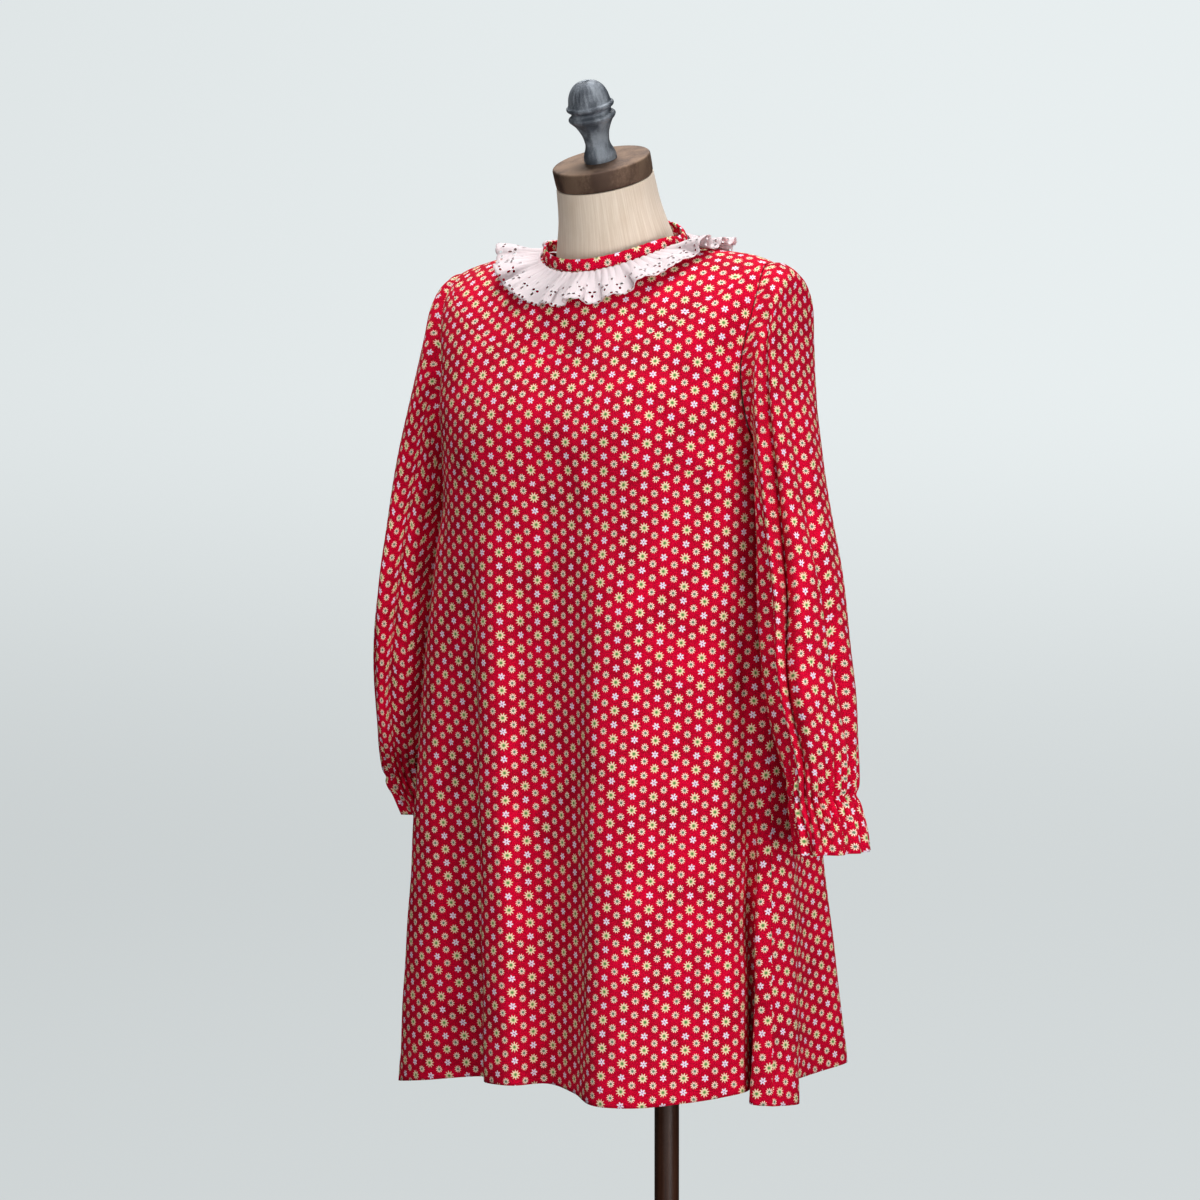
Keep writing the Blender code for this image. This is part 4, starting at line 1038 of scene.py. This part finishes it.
def makeSleeve(side):
    sign = 1 if side == "left" else -1
    loop, at, values, elastic = sleeveRings(side)
    total = at[-1]
    turn = np.arange(sleeves["columns"]) * 2 * math.pi / sleeves["columns"]
    capFolds = gatherFolds(turn, sleeves["capFolds"], 31 + sign) * easeIn(np.cos(turn), *sleeves["capPart"])
    cuffFolds = gatherFolds(turn, sleeves["cuffFolds"], 41 + sign)
    frill = np.sin(sleeves["frillWaves"] * turn + 0.9 * np.sin(3 * turn + sign))
    back = np.array([0, 1.0, 0])
    rings = []
    for place, row in zip(at, values):
        xOuter, zOuter, xInner, zInner, yMiddle, halfDepth, foldShare, armholeShare = row
        middle = np.array([(xOuter + xInner) / 2, yMiddle, (zOuter + zInner) / 2])
        arm = np.array([xOuter - xInner, 0, zOuter - zInner]) / 2
        reach = np.linalg.norm(arm)
        ring = middle + np.outer(np.cos(turn), arm) - np.outer(np.sin(turn) * halfDepth, back)
        way = np.outer(np.cos(turn) / reach, arm / reach) - np.outer(np.sin(turn) / halfDepth, back)
        way /= np.linalg.norm(way, axis=1, keepdims=True)
        move = sleeveFolds(side, turn, place / total, foldShare, reach)
        cap = easeIn(place, *sleeves["capStart"]) * (1 - easeIn(place, *sleeves["capFade"]))
        move += sleeves["capFoldDepth"] * cap * capFolds * (1 + 0.4 * math.cos(place * 60))
        nearCuff = easeIn(place, elastic - sleeves["cuffReach"], elastic - 0.004)
        pastCuff = easeIn(place, elastic + 0.004, total)
        cuff = sleeves["cuffFoldDepth"] * nearCuff**1.6 * (1 - (1 - sleeves["leftInFrill"]) * pastCuff)
        move += cuff * cuffFolds + sleeves["frillDepth"] * pastCuff * frill
        move -= sleeves["elasticPinch"] * math.exp(-(((place - elastic) / sleeves["elasticWidth"]) ** 2))
        waves = sleeves["unevenness"] * easeIn(place, 0.01, 0.06) * (1 - nearCuff)
        move += waves * (np.sin(4 * turn + place * 38 + sign) + np.sin(6 * turn - place * 26))
        ring = (ring + way * move[:, None]) * np.array([sign, 1, 1])
        rings.append(ring * (1 - armholeShare) + loop * armholeShare)
    grid = np.array(rings)
    down = sumsSoFar(gaps(grid, 0), 0)
    down = down[-1] - down
    share = (np.arange(turn.size + 1) / turn.size + 0.5) % 1.0 - 0.5
    share[turn.size // 2] = 0.5
    width = np.interp(at, [0, 0.10], [sleeves["capPrintWidth"], sleeves["printWidth"]])
    flat = np.stack([-sign * width[:, None] * share, np.concatenate([down, down[:, :1]], axis=1)], axis=2)
    around = np.linalg.norm(stepsAcross(grid, closed=True), axis=2).sum(axis=1).max()
    print("sleeve", side, "is %.3f m long, %.3f m round at its fullest, area %.3f m2" % (
        down[0].max(), around, areaOf(grid, closed=True)))
    name = "sleeve" + side.capitalize()
    piece = clothPiece(name, grid, flat, flowered, floweredInside, sleeves["wall"], closed=True)
    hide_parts("sleeve_" + side)


for side in ("left", "right"):
    makeSleeve(side)
print("sleeves: two made")

# The neckband stands at the neck and is open at the centre back.
neck = dict(lean=19.0, height=0.0125, inLean=0.0025, topInLean=0.0008, wall=0.0018, columns=300, slit=2.2,
            puckers=52, puckerDepth=0.00045, edgeWaver=0.0004, bow=0.0007, cutWidth=0.46, cutLength=0.0125)


def neckWay():
    lean = math.radians(neck["lean"])
    return np.array([0, -math.sin(lean), math.cos(lean)])


def makeBand():
    slit = math.radians(neck["slit"])
    turn = np.linspace(-math.pi + slit / 2, math.pi - slit / 2, neck["columns"] + 1)
    seam = bodyRing(turn, 0.0)
    inwards = seam.mean(axis=0) - seam
    inwards /= np.linalg.norm(inwards, axis=1, keepdims=True)
    first, last = body["cloth"] / 2 + body["seamGap"] + 0.0002, neck["height"]
    heights = np.array([first, *np.linspace(first + 0.001, last - 0.0012, 7), last - 0.0004, last])
    puckers = gatherFolds(turn, neck["puckers"], 8)
    grid = []
    for height in heights:
        share = height / last
        inLean = neck["inLean"] * share + neck["topInLean"] * easeIn(share, 0.85, 1.0)
        rise = neckWay() * (height + neck["edgeWaver"] * share * puckers[:, None])
        out = neck["puckerDepth"] * puckers * (0.35 + 0.65 * abs(2 * share - 1))
        out += neck["bow"] * math.sin(math.pi * share)
        grid.append(seam + rise + inwards * (inLean - out)[:, None])
    grid = np.array(grid)
    along = sumsSoFar(gaps(grid[4]))
    flat = np.stack(np.broadcast_arrays(along - along[-1] / 2, heights[:, None] + 0.0012), axis=2)
    piece = clothPiece("neckBand", grid[::-1], flat[::-1], flowered, flowered, neck["wall"])
    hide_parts("neckband")
    print("neckband is %.3f m long" % along[-1])


# The collar frill: one gathered strip of white eyelet with a scalloped edge.
collar = dict(
    start=0.0030, width=0.0530, slit=2.2, columns=1056, rows=17, wall=0.0007, cutWidth=0.956, cutLength=0.046,
    # it lies over half the neckband's and the yoke's cloth, and rises to its edge in waves
    waves=22, baseRise=0.0023, baseSlope=0.0014, waveRise=0.0008, rise=0.0115, broadRise=0.0034, swing=0.0030,
    fineGathers=74, fineDepth=0.0009, midGathers=41, midDepth=0.0004, scallop=0.0090, scallopDepth=0.0016,
)


def surfaceWays(angle, drop):
    # the ways out of the body and along its ring, above the skirt
    down = bodyRing(angle, drop + 0.0005) - bodyRing(angle, np.maximum(drop - 0.0005, 0))
    across = bodyRing(angle + 0.002, drop) - bodyRing(angle - 0.002, drop)
    way = np.cross(across, down)
    way /= np.linalg.norm(way, axis=1, keepdims=True)
    outward = bodyRing(angle, drop) - np.array([0, -0.105, 1.2])
    across /= np.linalg.norm(across, axis=1, keepdims=True)
    return way * np.sign((way * outward).sum(axis=1, keepdims=True)), across


def makeCollar(finish):
    slit = math.radians(collar["slit"])
    turn = np.linspace(-math.pi + slit, math.pi - slit, collar["columns"] + 1)
    phase = collar["waves"] * (turn + math.pi) + 1.1 * np.sin(3 * turn + 0.4) + 0.7 * np.sin(5 * turn + 2.0)
    wave = (1 - np.cos(phase)) / 2
    uneven = np.clip(0.72 + 0.42 * np.sin(5 * turn + 0.6) + 0.34 * np.sin(9 * turn + 2.0), 0.12, 1.5)
    broad = 1 + np.sin(8 * turn + 1.6 * np.sin(2 * turn + 0.7))
    fine = gatherFolds(turn, collar["fineGathers"], 21)
    middling = gatherFolds(turn, collar["midGathers"], 22)
    sway = collar["swing"] * (np.sin(2 * phase) * uneven + np.sin(6 * turn + 1.0))

    def edgeRows(scallops):
        grid = []
        for share in np.linspace(0, 1, collar["rows"]) ** 0.85:
            drop = collar["start"] + (collar["width"] - collar["scallopDepth"]) * share
            drop = drop + scallops * easeIn(share, 0.8, 1.0)
            way, across = surfaceWays(turn, drop)
            rise = collar["baseRise"] + collar["baseSlope"] * share
            rise = rise + (collar["waveRise"] + collar["rise"] * share**1.15) * wave * uneven
            rise = rise + collar["broadRise"] * share**1.4 * broad
            rise = rise + collar["fineDepth"] * (1 - share) ** 1.4 * (fine + 1)
            rise = rise + collar["midDepth"] * (middling + 1) * math.sin(math.pi * share) ** 2
            swing = sway * easeIn(share, 0.15, 0.9)
            grid.append(bodyRing(turn, drop) + way * rise[:, None] + across * swing[:, None])
        return np.array(grid)

    along = sumsSoFar(gaps(edgeRows(np.zeros(turn.size))[-1]))
    scallops = collar["scallopDepth"] * (np.abs(np.sin(math.pi * along / collar["scallop"])) ** 0.7)
    grid = edgeRows(scallops)
    across = sumsSoFar(gaps(grid, 0), 0)
    flat = np.stack(np.broadcast_arrays(along, across), axis=2)
    piece = clothPiece("collarFrill", grid, flat, finish, finish, collar["wall"])
    print("collar edge is %.3f m long and %.3f m wide" % (along[-1], across[-1].mean()))
    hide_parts("collar_ruffle")


def makeEyeletCotton():
    finish, tree, shader = newFinish("eyeletCotton", 0.8)
    place = flatPlace(tree)
    work = placed(tree, eyeletGroup, Vector=place, Repeat=eyelet["repeat"], Size=eyelet["size"])
    weave = placed(tree, weaveGroup, Vector=place, Threads=2600.0, Slub=0.4)
    tone = scaled(tree, weave["Tone"], 0.6, 0.4, clamp=True)
    base = mixed(tree, tone, srgb(204, 189, 192), srgb(216, 206, 208))
    connect(tree, shader.inputs["Base Color"], mixed(tree, work["Rim"], base, srgb(232, 222, 224)))
    connect(tree, shader.inputs["Alpha"], minus(tree, 1.0, work["Hole"]))
    bumpInto(tree, shader, scaled(tree, weave["Height"], 0.12, work["Rim"]), 0.6, 0.0008)
    setInputs(shader, SubsurfaceWeight=0.12, SubsurfaceScale=0.004, SubsurfaceRadius=(1.0, 0.7, 0.7),
              SpecularIORLevel=0.2)
    return finish


makeBand()
makeCollar(makeEyeletCotton())
print("neck: band and collar made")

# The form under the dress: torso and neck in linen, cap, finial and stand.
form = dict(
    clearance=0.0060, moreBelow=0.004, columns=96, rows=110,
    # share of the way from the cap down to the neck seam, and radius of the neck there
    neck=((0.0, 0.0505), (0.45, 0.0535), (0.85, 0.0600)), neckFoot=0.0665, neckFootDrop=0.012,
    drops=(0.036, 0.070, 0.100, 0.128, 0.165, 0.212, 0.262, 0.312),
    # z, halfWidth, yFront, ySide, yBack
    torso=((1.090, 0.146, -0.208, -0.094, 0.010), (1.020, 0.124, -0.172, -0.082, 0.006),
           (0.930, 0.136, -0.160, -0.072, 0.018), (0.850, 0.144, -0.152, -0.064, 0.028),
           (0.800, 0.138, -0.146, -0.060, 0.026), (0.785, 0.126, -0.134, -0.058, 0.018)),
    torsoSquareness=0.9, capLean=22.0, capCentre=(0.0, -0.1270, 1.4710), capRadius=0.0508, capHeight=0.0210,
    finialHeight=0.0830, nutRadius=0.0240, nutFlange=0.0384, nutHeight=0.0300,
    poleRadius=0.0130, poleFoot=0.0163, baseRadius=0.1950, baseThickness=0.0140,
)


def capWay():
    lean = math.radians(form["capLean"])
    return np.array([0, -math.sin(lean), math.cos(lean)])


def formRings():
    turn = np.arange(form["columns"]) * 2 * math.pi / form["columns"]
    top = np.array(form["capCentre"]) - capWay() * body["seamGap"]
    base = bodyRing(turn, 0.0).mean(axis=0)
    rings = []

    def tilted(middle, axis, radius):
        aside = np.array([1.0, 0, 0])
        ahead = np.cross(axis, aside)
        return middle + np.outer(np.sin(turn) * radius, aside) - np.outer(np.cos(turn) * radius, ahead)

    for share, radius in form["neck"]:
        axis = capWay() + (neckWay() - capWay()) * share
        rings.append(tilted(top + (base - top) * share, axis / np.linalg.norm(axis), radius))
    rings.append(tilted(base - neckWay() * form["neckFootDrop"], neckWay(), form["neckFoot"]))
    for drop in form["drops"]:
        inset = form["clearance"] + form["moreBelow"] * max(0.0, drop - 0.1) / 0.2
        drop = np.full(turn.size, drop)
        rings.append(bodyRing(turn, drop) - surfaceWays(turn, drop)[0] * inset)
    across, along = np.sin(turn), np.cos(turn)
    squareness = form["torsoSquareness"]
    for z, halfWidth, yFront, ySide, yBack in form["torso"]:
        x = halfWidth * np.sign(across) * np.abs(across) ** squareness
        y = ySide + np.where(along > 0, yFront - ySide, yBack - ySide) * np.abs(along) ** squareness
        rings.append(np.stack([x, y, np.full(turn.size, z)], axis=1))
    return np.array(rings)


def ringFaces(rows, columns):
    # the faces between closed rings of points, then a cap on the first ring and one on the last
    sides = []
    for first in range(0, (rows - 1) * columns, columns):
        below = first + columns
        for c in range(columns):
            after = (c + 1) % columns
            sides.append((first + c, below + c, below + after, first + after))
    last = (rows - 1) * columns
    return sides + [tuple(range(columns)), tuple(range(last, last + columns))[::-1]]


def makeTorso(finish):
    rings = formRings()
    knots = sumsSoFar(gaps(rings, 0).mean(axis=1))
    at = np.unique(np.concatenate([knots, np.linspace(0, knots[-1], form["rows"])]))
    at = at[np.concatenate([[True], np.diff(at) > 1e-4])]
    grid = smooth(knots, rings, at)
    rows, columns = grid.shape[:2]
    mesh = bpy.data.meshes.new("linenForm")
    mesh.from_pydata(grid.reshape(-1, 3).tolist(), [], ringFaces(rows, columns))
    layer = mesh.uv_layers.new(name="clothFlat")
    around = np.linspace(0, 0.40, columns + 1)
    place = np.zeros((len(mesh.loops), 2), np.float32)
    r, c = np.meshgrid(np.arange(rows - 1), np.arange(columns), indexing="ij")
    corners = [np.stack([around[c + b], at[r + a]], axis=-1) for a, b in ((0, 0), (1, 0), (1, 1), (0, 1))]
    corners = np.stack(corners, axis=2).reshape(-1, 2)
    place[:len(corners)] = corners
    layer.data.foreach_set("uv", place.reshape(-1))
    mesh.materials.append(finish)
    mesh.shade_smooth()
    mesh.set_sharp_from_angle(angle=math.radians(60))
    piece = addObject("linenForm", mesh)
    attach(piece, "root")
    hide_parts("form_torso")


def makeLinen():
    finish, tree, shader = newFinish("formLinen", 0.88)
    place = flatPlace(tree)
    weave = placed(tree, weaveGroup, Vector=place, Threads=1300.0, Slub=0.7)
    grain = noise(tree, stretched(tree, place, (420, 14, 1)), 1.0, 4.0, 0.65)
    patches = noise(tree, place, 22.0, 3.0)
    base = mixed(tree, ramp(tree, grain, 0.3, 0.72), srgb(208, 190, 170), srgb(226, 212, 195))
    base = mixed(tree, times(tree, ramp(tree, patches, 0.45, 0.75), 0.30), base, srgb(196, 174, 150))
    connect(tree, shader.inputs["Base Color"], base)
    bumpInto(tree, shader, scaled(tree, grain, 0.6, times(tree, weave["Height"], 0.2)), 0.5, 0.0008)
    setInputs(shader, SheenWeight=0.1)
    return finish


def turnedPiece(name, node, slot, profile, finish, place, axis, steps=96, flutes=None, sharp=35):
    # a turned shape from (radius, height) rows; flutes gives the share by which each row's radius is cut
    turn = np.arange(steps) * 2 * math.pi / steps
    points = []
    for radius, height in profile:
        cut = radius * (1 - (flutes(height, turn) if flutes else np.zeros(steps)))
        points += zip(cut * np.cos(turn), cut * np.sin(turn), [height] * steps)
    mesh = bpy.data.meshes.new(name)
    mesh.from_pydata(points, [], ringFaces(len(profile), steps))
    lean = Vector(axis).to_track_quat("Z", "Y").to_matrix().to_4x4()
    mesh.transform(Matrix.Translation(Vector(place)) @ lean)
    mesh.materials.append(finish)
    mesh.shade_smooth()
    mesh.set_sharp_from_angle(angle=math.radians(sharp))
    piece = addObject(name, mesh)
    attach(piece, "root")
    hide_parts(node)


def roundedProfile(rows, count):
    # a smooth line through (radius, height) rows by its own length
    rows = np.array(rows, float)
    knots = sumsSoFar(gaps(rows))
    line = smooth(knots, rows, np.linspace(0, knots[-1], count))
    return [(max(float(r), 0.0002), float(h)) for r, h in line]


metals = dict(
    agedBronze=dict(metallic=0.8, scale=34.0, streak=0.35, dark=srgb(84, 66, 56), light=srgb(116, 92, 76),
                    lightFrom=0.65, worn=srgb(150, 128, 108), wornShare=0.45, roughness=0.55, bump=0.25,
                    bumpDepth=0.0006),
    agedPewter=dict(metallic=0.35, scale=60.0, streak=0.5, dark=srgb(72, 78, 86), light=srgb(112, 120, 130),
                    lightFrom=0.68, worn=srgb(160, 166, 172), wornShare=0.55, roughness=0.42, bump=0.55,
                    bumpDepth=0.0012),
)


def makeMetal(name):
    spec = metals[name]
    finish, tree, shader = newFinish(name, spec["roughness"], spec["metallic"])
    aged = placed(tree, agedGroup, Vector=solidPlace(tree), Scale=spec["scale"], Streak=spec["streak"])
    base = mixed(tree, ramp(tree, aged["Dull"], 0.35, spec["lightFrom"]), spec["dark"], spec["light"])
    worn = times(tree, aged["Wear"], spec["wornShare"])
    connect(tree, shader.inputs["Base Color"], mixed(tree, worn, base, spec["worn"]))
    connect(tree, shader.inputs["Roughness"], scaled(tree, aged["Dull"], 0.30, spec["roughness"]))
    bumpInto(tree, shader, aged["Height"], spec["bump"], spec["bumpDepth"])
    return finish


def makeDarkWood():
    finish, tree, shader = newFinish("darkPole", 0.4)
    place = solidPlace(tree)
    grain = noise(tree, stretched(tree, place, (260, 260, 9)), 1.0, 4.0, 0.6)
    aged = placed(tree, agedGroup, Vector=place, Scale=25.0, Streak=0.15)
    base = mixed(tree, ramp(tree, grain, 0.3, 0.7), srgb(44, 22, 12), srgb(60, 33, 20))
    worn = times(tree, aged["Wear"], 0.25)
    connect(tree, shader.inputs["Base Color"], mixed(tree, worn, base, srgb(98, 72, 60)))
    connect(tree, shader.inputs["Roughness"], scaled(tree, grain, 0.25, 0.25))
    setInputs(shader, SpecularIORLevel=0.25)
    bumpInto(tree, shader, grain, 0.2, 0.0005)
    return finish


def makePearl():
    finish, tree, shader = newFinish("pearlButton", 0.28)
    cloud = noise(tree, solidPlace(tree), 480.0, 3.0)
    base = mixed(tree, ramp(tree, cloud, 0.3, 0.7), srgb(226, 218, 206), srgb(244, 240, 234))
    connect(tree, shader.inputs["Base Color"], base)
    connect(tree, shader.inputs["Roughness"], scaled(tree, cloud, 0.15, 0.2))
    setInputs(shader, CoatWeight=0.3)
    return finish


def makeThread():
    finish, tree, shader = newFinish("redThread", 0.8)
    ply = noise(tree, stretched(tree, solidPlace(tree), (1600, 1600, 500)), 1.0, 2.0)
    connect(tree, shader.inputs["Base Color"], mixed(tree, ply, srgb(150, 6, 26), srgb(214, 24, 52)))
    bumpInto(tree, shader, ply, 0.5, 0.0003)
    return finish


# Profiles are rows of radius and height from the top down, closed on the axis by a hair's radius.
onAxis = 0.0002
# share of the finial's height, and its radius there
finialRows = (
    (1.000, 0.0062), (0.985, 0.0100), (0.930, 0.0158), (0.840, 0.0200), (0.750, 0.0217), (0.722, 0.0222),
    (0.705, 0.0243), (0.685, 0.0246), (0.664, 0.0238), (0.640, 0.0212), (0.618, 0.0204), (0.596, 0.0212),
    (0.575, 0.0238), (0.556, 0.0244), (0.535, 0.0239), (0.505, 0.0220), (0.440, 0.0186), (0.380, 0.0160),
    (0.330, 0.0143), (0.270, 0.0132), (0.210, 0.0128), (0.165, 0.0136), (0.120, 0.0152), (0.070, 0.0166),
    (0.035, 0.0169), (0.000, 0.0168),
)


def finialFlutes(height, turn):
    # 26 fine cuts round the dome and 9 broad ones round the cup below it
    share = height / form["finialHeight"]
    dome = 0.022 * float(easeIn(share, 0.72, 0.78) * (1 - easeIn(share, 0.93, 0.99)))
    cup = 0.055 * float(easeIn(share, 0.15, 0.25) * (1 - easeIn(share, 0.46, 0.52)))
    return dome * (0.5 - 0.5 * np.cos(26 * turn)) + cup * (0.5 - 0.5 * np.cos(9 * turn)) ** 0.7


def makeStand():
    bronze, pewter, pole = makeMetal("agedBronze"), makeMetal("agedPewter"), makeDarkWood()
    axis, r, h = capWay(), form["capRadius"], form["capHeight"]
    cap = [(onAxis, h), (r - 0.012, h), (r - 0.0024, h - 0.0001), (r - 0.0012, h - 0.0004),
           (r - 0.0004, h - 0.0011), (r, h - 0.0022), (r - 0.0001, h * 0.6), (r - 0.0003, h * 0.3),
           (r - 0.0006, 0.0022), (r - 0.0012, 0.0006), (r - 0.0022, 0.0), (onAxis, 0.0)]
    turnedPiece("neckCap", "neck_cap", "bronze", cap, bronze, form["capCentre"], axis, steps=128, sharp=50)
    f = form["finialHeight"]
    hole = [(onAxis, f - 0.012), (0.0028, f - 0.0118), (0.0030, f - 0.006), (0.0034, f - 0.0012),
            (0.0042, f - 0.0002)]
    shape = roundedProfile([(radius, f * share) for share, radius in finialRows], 96)
    foot = np.array(form["capCentre"]) + axis * (h + body["seamGap"])
    turnedPiece("finialKnob", "finial", "pewter", hole + shape + [(onAxis, 0.0)], pewter, foot, axis,
                steps=156, flutes=finialFlutes, sharp=70)
    top, n, flange = form["torso"][-1][0] - body["seamGap"], form["nutRadius"], form["nutFlange"]
    bottom = top - form["nutHeight"]
    nut = [(onAxis, top), (flange - 0.001, top), (flange, top - 0.001), (flange, top - 0.005),
           (flange - 0.001, top - 0.006), (n + 0.004, top - 0.0075), (n, top - 0.011), (n, bottom + 0.002),
           (n - 0.002, bottom), (onAxis, bottom)]
    upright = dict(place=(0, 0, 0), axis=(0, 0, 1))
    turnedPiece("standNut", "stand_nut", "bronze", nut, bronze, steps=72, **upright)
    p, top, foot = form["poleRadius"], bottom - body["seamGap"], form["baseThickness"] + form["poleFoot"]
    straight = [(p, z) for z in np.linspace(top - 0.02, foot + 0.02, 12)]
    rod = [(onAxis, top), (p - 0.0006, top), (p, top - 0.0006), *straight, (p, foot + 0.0006),
           (p - 0.0006, foot), (onAxis, foot)]
    turnedPiece("standPole", "stand_pole", "wood", rod, pole, steps=64, **upright)
    t, b = form["baseThickness"], form["baseRadius"]
    plate = [(onAxis, t + 0.016), (0.0285, t + 0.016), (0.0300, t + 0.0152), (0.034, t + 0.010),
             (0.038, t + 0.0062), (0.050, t + 0.003), (0.080, t + 0.0012), (b - 0.010, t),
             (b - 0.0035, t - 0.0008), (b - 0.0010, t - 0.0026), (b, t - 0.005), (b, 0.0012),
             (b - 0.0012, 0.0), (onAxis, 0.0)]
    turnedPiece("standBase", "stand_base", "bronze", plate, bronze, steps=160, **upright)


# The button at the back of the neckband, and the red thread that holds it: aside, up and out from its middle.
button = dict(
    upTheBand=0.62, standsOff=0.0035,
    profile=((onAxis, 0.0006), (0.0030, 0.0006), (0.0036, 0.0010), (0.0043, 0.0013), (0.0050, 0.0011),
             (0.0055, 0.0004), (0.0055, -0.0004), (0.0050, -0.0011), (0.0040, -0.0013), (onAxis, -0.0013)),
    loopRadius=0.00045, stitchRadius=0.0003,
    loop=((-0.0095, 0.0, -0.0016), (-0.0070, 0.0030, -0.0012), (-0.0030, 0.0062, -0.0010),
          (0.0030, 0.0066, -0.0010), (0.0066, 0.0025, -0.0010), (0.0066, -0.0025, -0.0010),
          (0.0030, -0.0066, -0.0010), (-0.0030, -0.0062, -0.0010), (-0.0070, -0.0030, -0.0012),
          (-0.0095, -0.0006, -0.0016)),
    stitch=((-0.0012, 0.0, 0.0005), (-0.0010, 0.0, 0.0010), (0.0, 0.0, 0.0012), (0.0010, 0.0, 0.0010),
            (0.0012, 0.0, 0.0005)),
)


def makeButton():
    pearl = makePearl()
    lean = math.radians(neck["lean"])
    out = Vector((0, math.cos(lean), math.sin(lean)))
    place = Vector(bodyRing(np.array([math.pi]), 0.0)[0] + neckWay() * neck["height"] * button["upTheBand"])
    place += out * button["standsOff"]
    turnedPiece("neckButton", "neck_button", "pearl", button["profile"], pearl, place, out, steps=48,
                sharp=60)
    thread = makeThread()
    aside, up = Vector((1, 0, 0)), out.cross(Vector((1, 0, 0)))
    for name, points, radius in (("buttonLoop", button["loop"], button["loopRadius"]),
                                 ("buttonThread", button["stitch"], button["stitchRadius"])):
        line = bpy.data.curves.new(name, "CURVE")
        line.dimensions = "3D"
        line.bevel_depth = radius
        line.bevel_resolution = 3
        spline = line.splines.new("BEZIER")
        spline.bezier_points.add(len(points) - 1)
        for knot, (a, b, c) in zip(spline.bezier_points, points):
            knot.co = place + aside * a + up * b + out * c
            knot.handle_left_type = knot.handle_right_type = "AUTO"
        loop = addObject(name, line)
        line.materials.append(thread)
        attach(loop, "root")


makeTorso(makeLinen())
makeStand()
makeButton()
print("form: torso, cap, finial, stand and button made")

# A wide pale bowl is floor and backdrop in one, with painted shade that makes it a little darker to the
# left and low down. Light comes mostly from above and behind, with a weaker glow from the front and from the
# floor.
studio = dict(
    floorRadius=7.0, wallRadius=3.0, wallHeight=6.0, steps=96, belowFloor=0.0004,
    tint=srgb(223, 229, 230), seenGlow=1.085, givenGlow=0.06, worldGlow=0.10, worldTint=(0.86, 0.90, 0.92, 1),
    sideFade=0.10, sideFadeFrom=(-4.0, 1.5), lowFade=0.21, lowFadeFrom=(0.0, 1.6), aim=(0, -0.1, 1.0),
    # power, size, then aside to the right, away from the camera, and height
    lamps=dict(topLight=(370.0, 2.6, 0.0, -0.2, 6.4), backLight=(100.0, 3.0, 0.0, 4.0, 5.2),
               sideLight=(114.0, 1.8, 2.3, -3.6, 1.0), leftLight=(60.0, 2.0, -2.6, -3.8, 3.0),
               floorLight=(32.0, 2.4, 0.0, -2.4, 0.12)),
)


def makeBowl(spec):
    rows = [(0.001, 0.0), *[(x, 0.0) for x in np.linspace(0.5, spec["floorRadius"], 14)]]
    floor, wall = spec["floorRadius"], spec["wallRadius"]
    for bend in np.linspace(0, math.pi / 2, 13)[1:]:
        rows.append((floor + wall * math.sin(bend), wall * (1 - math.cos(bend))))
    rows.append((floor + wall, spec["wallHeight"]))
    steps = spec["steps"]
    turn = np.arange(steps) * 2 * math.pi / steps
    points = []
    for radius, z in rows:
        points += zip(radius * np.cos(turn), radius * np.sin(turn), [z - spec["belowFloor"]] * steps)
    faces = [face[::-1] for face in ringFaces(len(rows), steps)[:-1]]  # seen from inside, and open at the top
    mesh = bpy.data.meshes.new("studioBowl")
    mesh.from_pydata(points, [], faces)
    mesh.shade_smooth()
    mesh.materials.append(makePaper(spec))
    addObject("studioBowl", mesh)


def makePaper(spec):
    # pale paper that the camera sees brighter than it lights the dress
    finish, tree, shader = newFinish("palePaper", 0.9)
    setInputs(shader, BaseColor=(0.02, 0.021, 0.021, 1), SpecularIORLevel=0.05, EmissionColor=spec["tint"])
    seen = tree.nodes.new("ShaderNodeLightPath").outputs["Is Camera Ray"]
    x, y, z = split(tree, solidPlace(tree))
    turn = math.radians(camera["turn"])
    aside = plus(tree, times(tree, x, math.cos(turn)), times(tree, y, math.sin(turn)))
    # painted shade: the bowl's glow is dimmed towards the left and low down
    fade = times(tree, ramp(tree, aside, *spec["sideFadeFrom"], 1.0 - spec["sideFade"], 1.0),
                 ramp(tree, z, *spec["lowFadeFrom"], 1.0 - spec["lowFade"], 1.0))
    glow = scaled(tree, seen, spec["seenGlow"] - spec["givenGlow"], spec["givenGlow"])
    connect(tree, shader.inputs["Emission Strength"], times(tree, glow, fade))
    return finish


def makeLights(spec):
    turn = math.radians(camera["turn"])
    ahead = Vector((-math.sin(turn), math.cos(turn), 0))
    rightward = Vector((math.cos(turn), math.sin(turn), 0))
    for name, (power, size, right, away, height) in spec["lamps"].items():
        lamp = addObject(name, bpy.data.lights.new(name, "AREA"))
        lamp.data.energy = power
        lamp.data.size = size
        lamp.visible_camera = False
        lamp.location = rightward * right + ahead * away + Vector((0, 0, height))
        lamp.rotation_euler = (Vector(spec["aim"]) - lamp.location).to_track_quat("-Z", "Y").to_euler()
    world = bpy.data.worlds.new("studioWorld")
    world.use_nodes = True
    background = world.node_tree.nodes["Background"]
    background.inputs[0].default_value = spec["worldTint"]
    background.inputs[1].default_value = spec["worldGlow"]
    bpy.context.scene.world = world
    bpy.context.scene.view_settings.view_transform = "Standard"


makeBowl(studio)
makeLights(studio)
print("studio: lights, floor and camera ready")
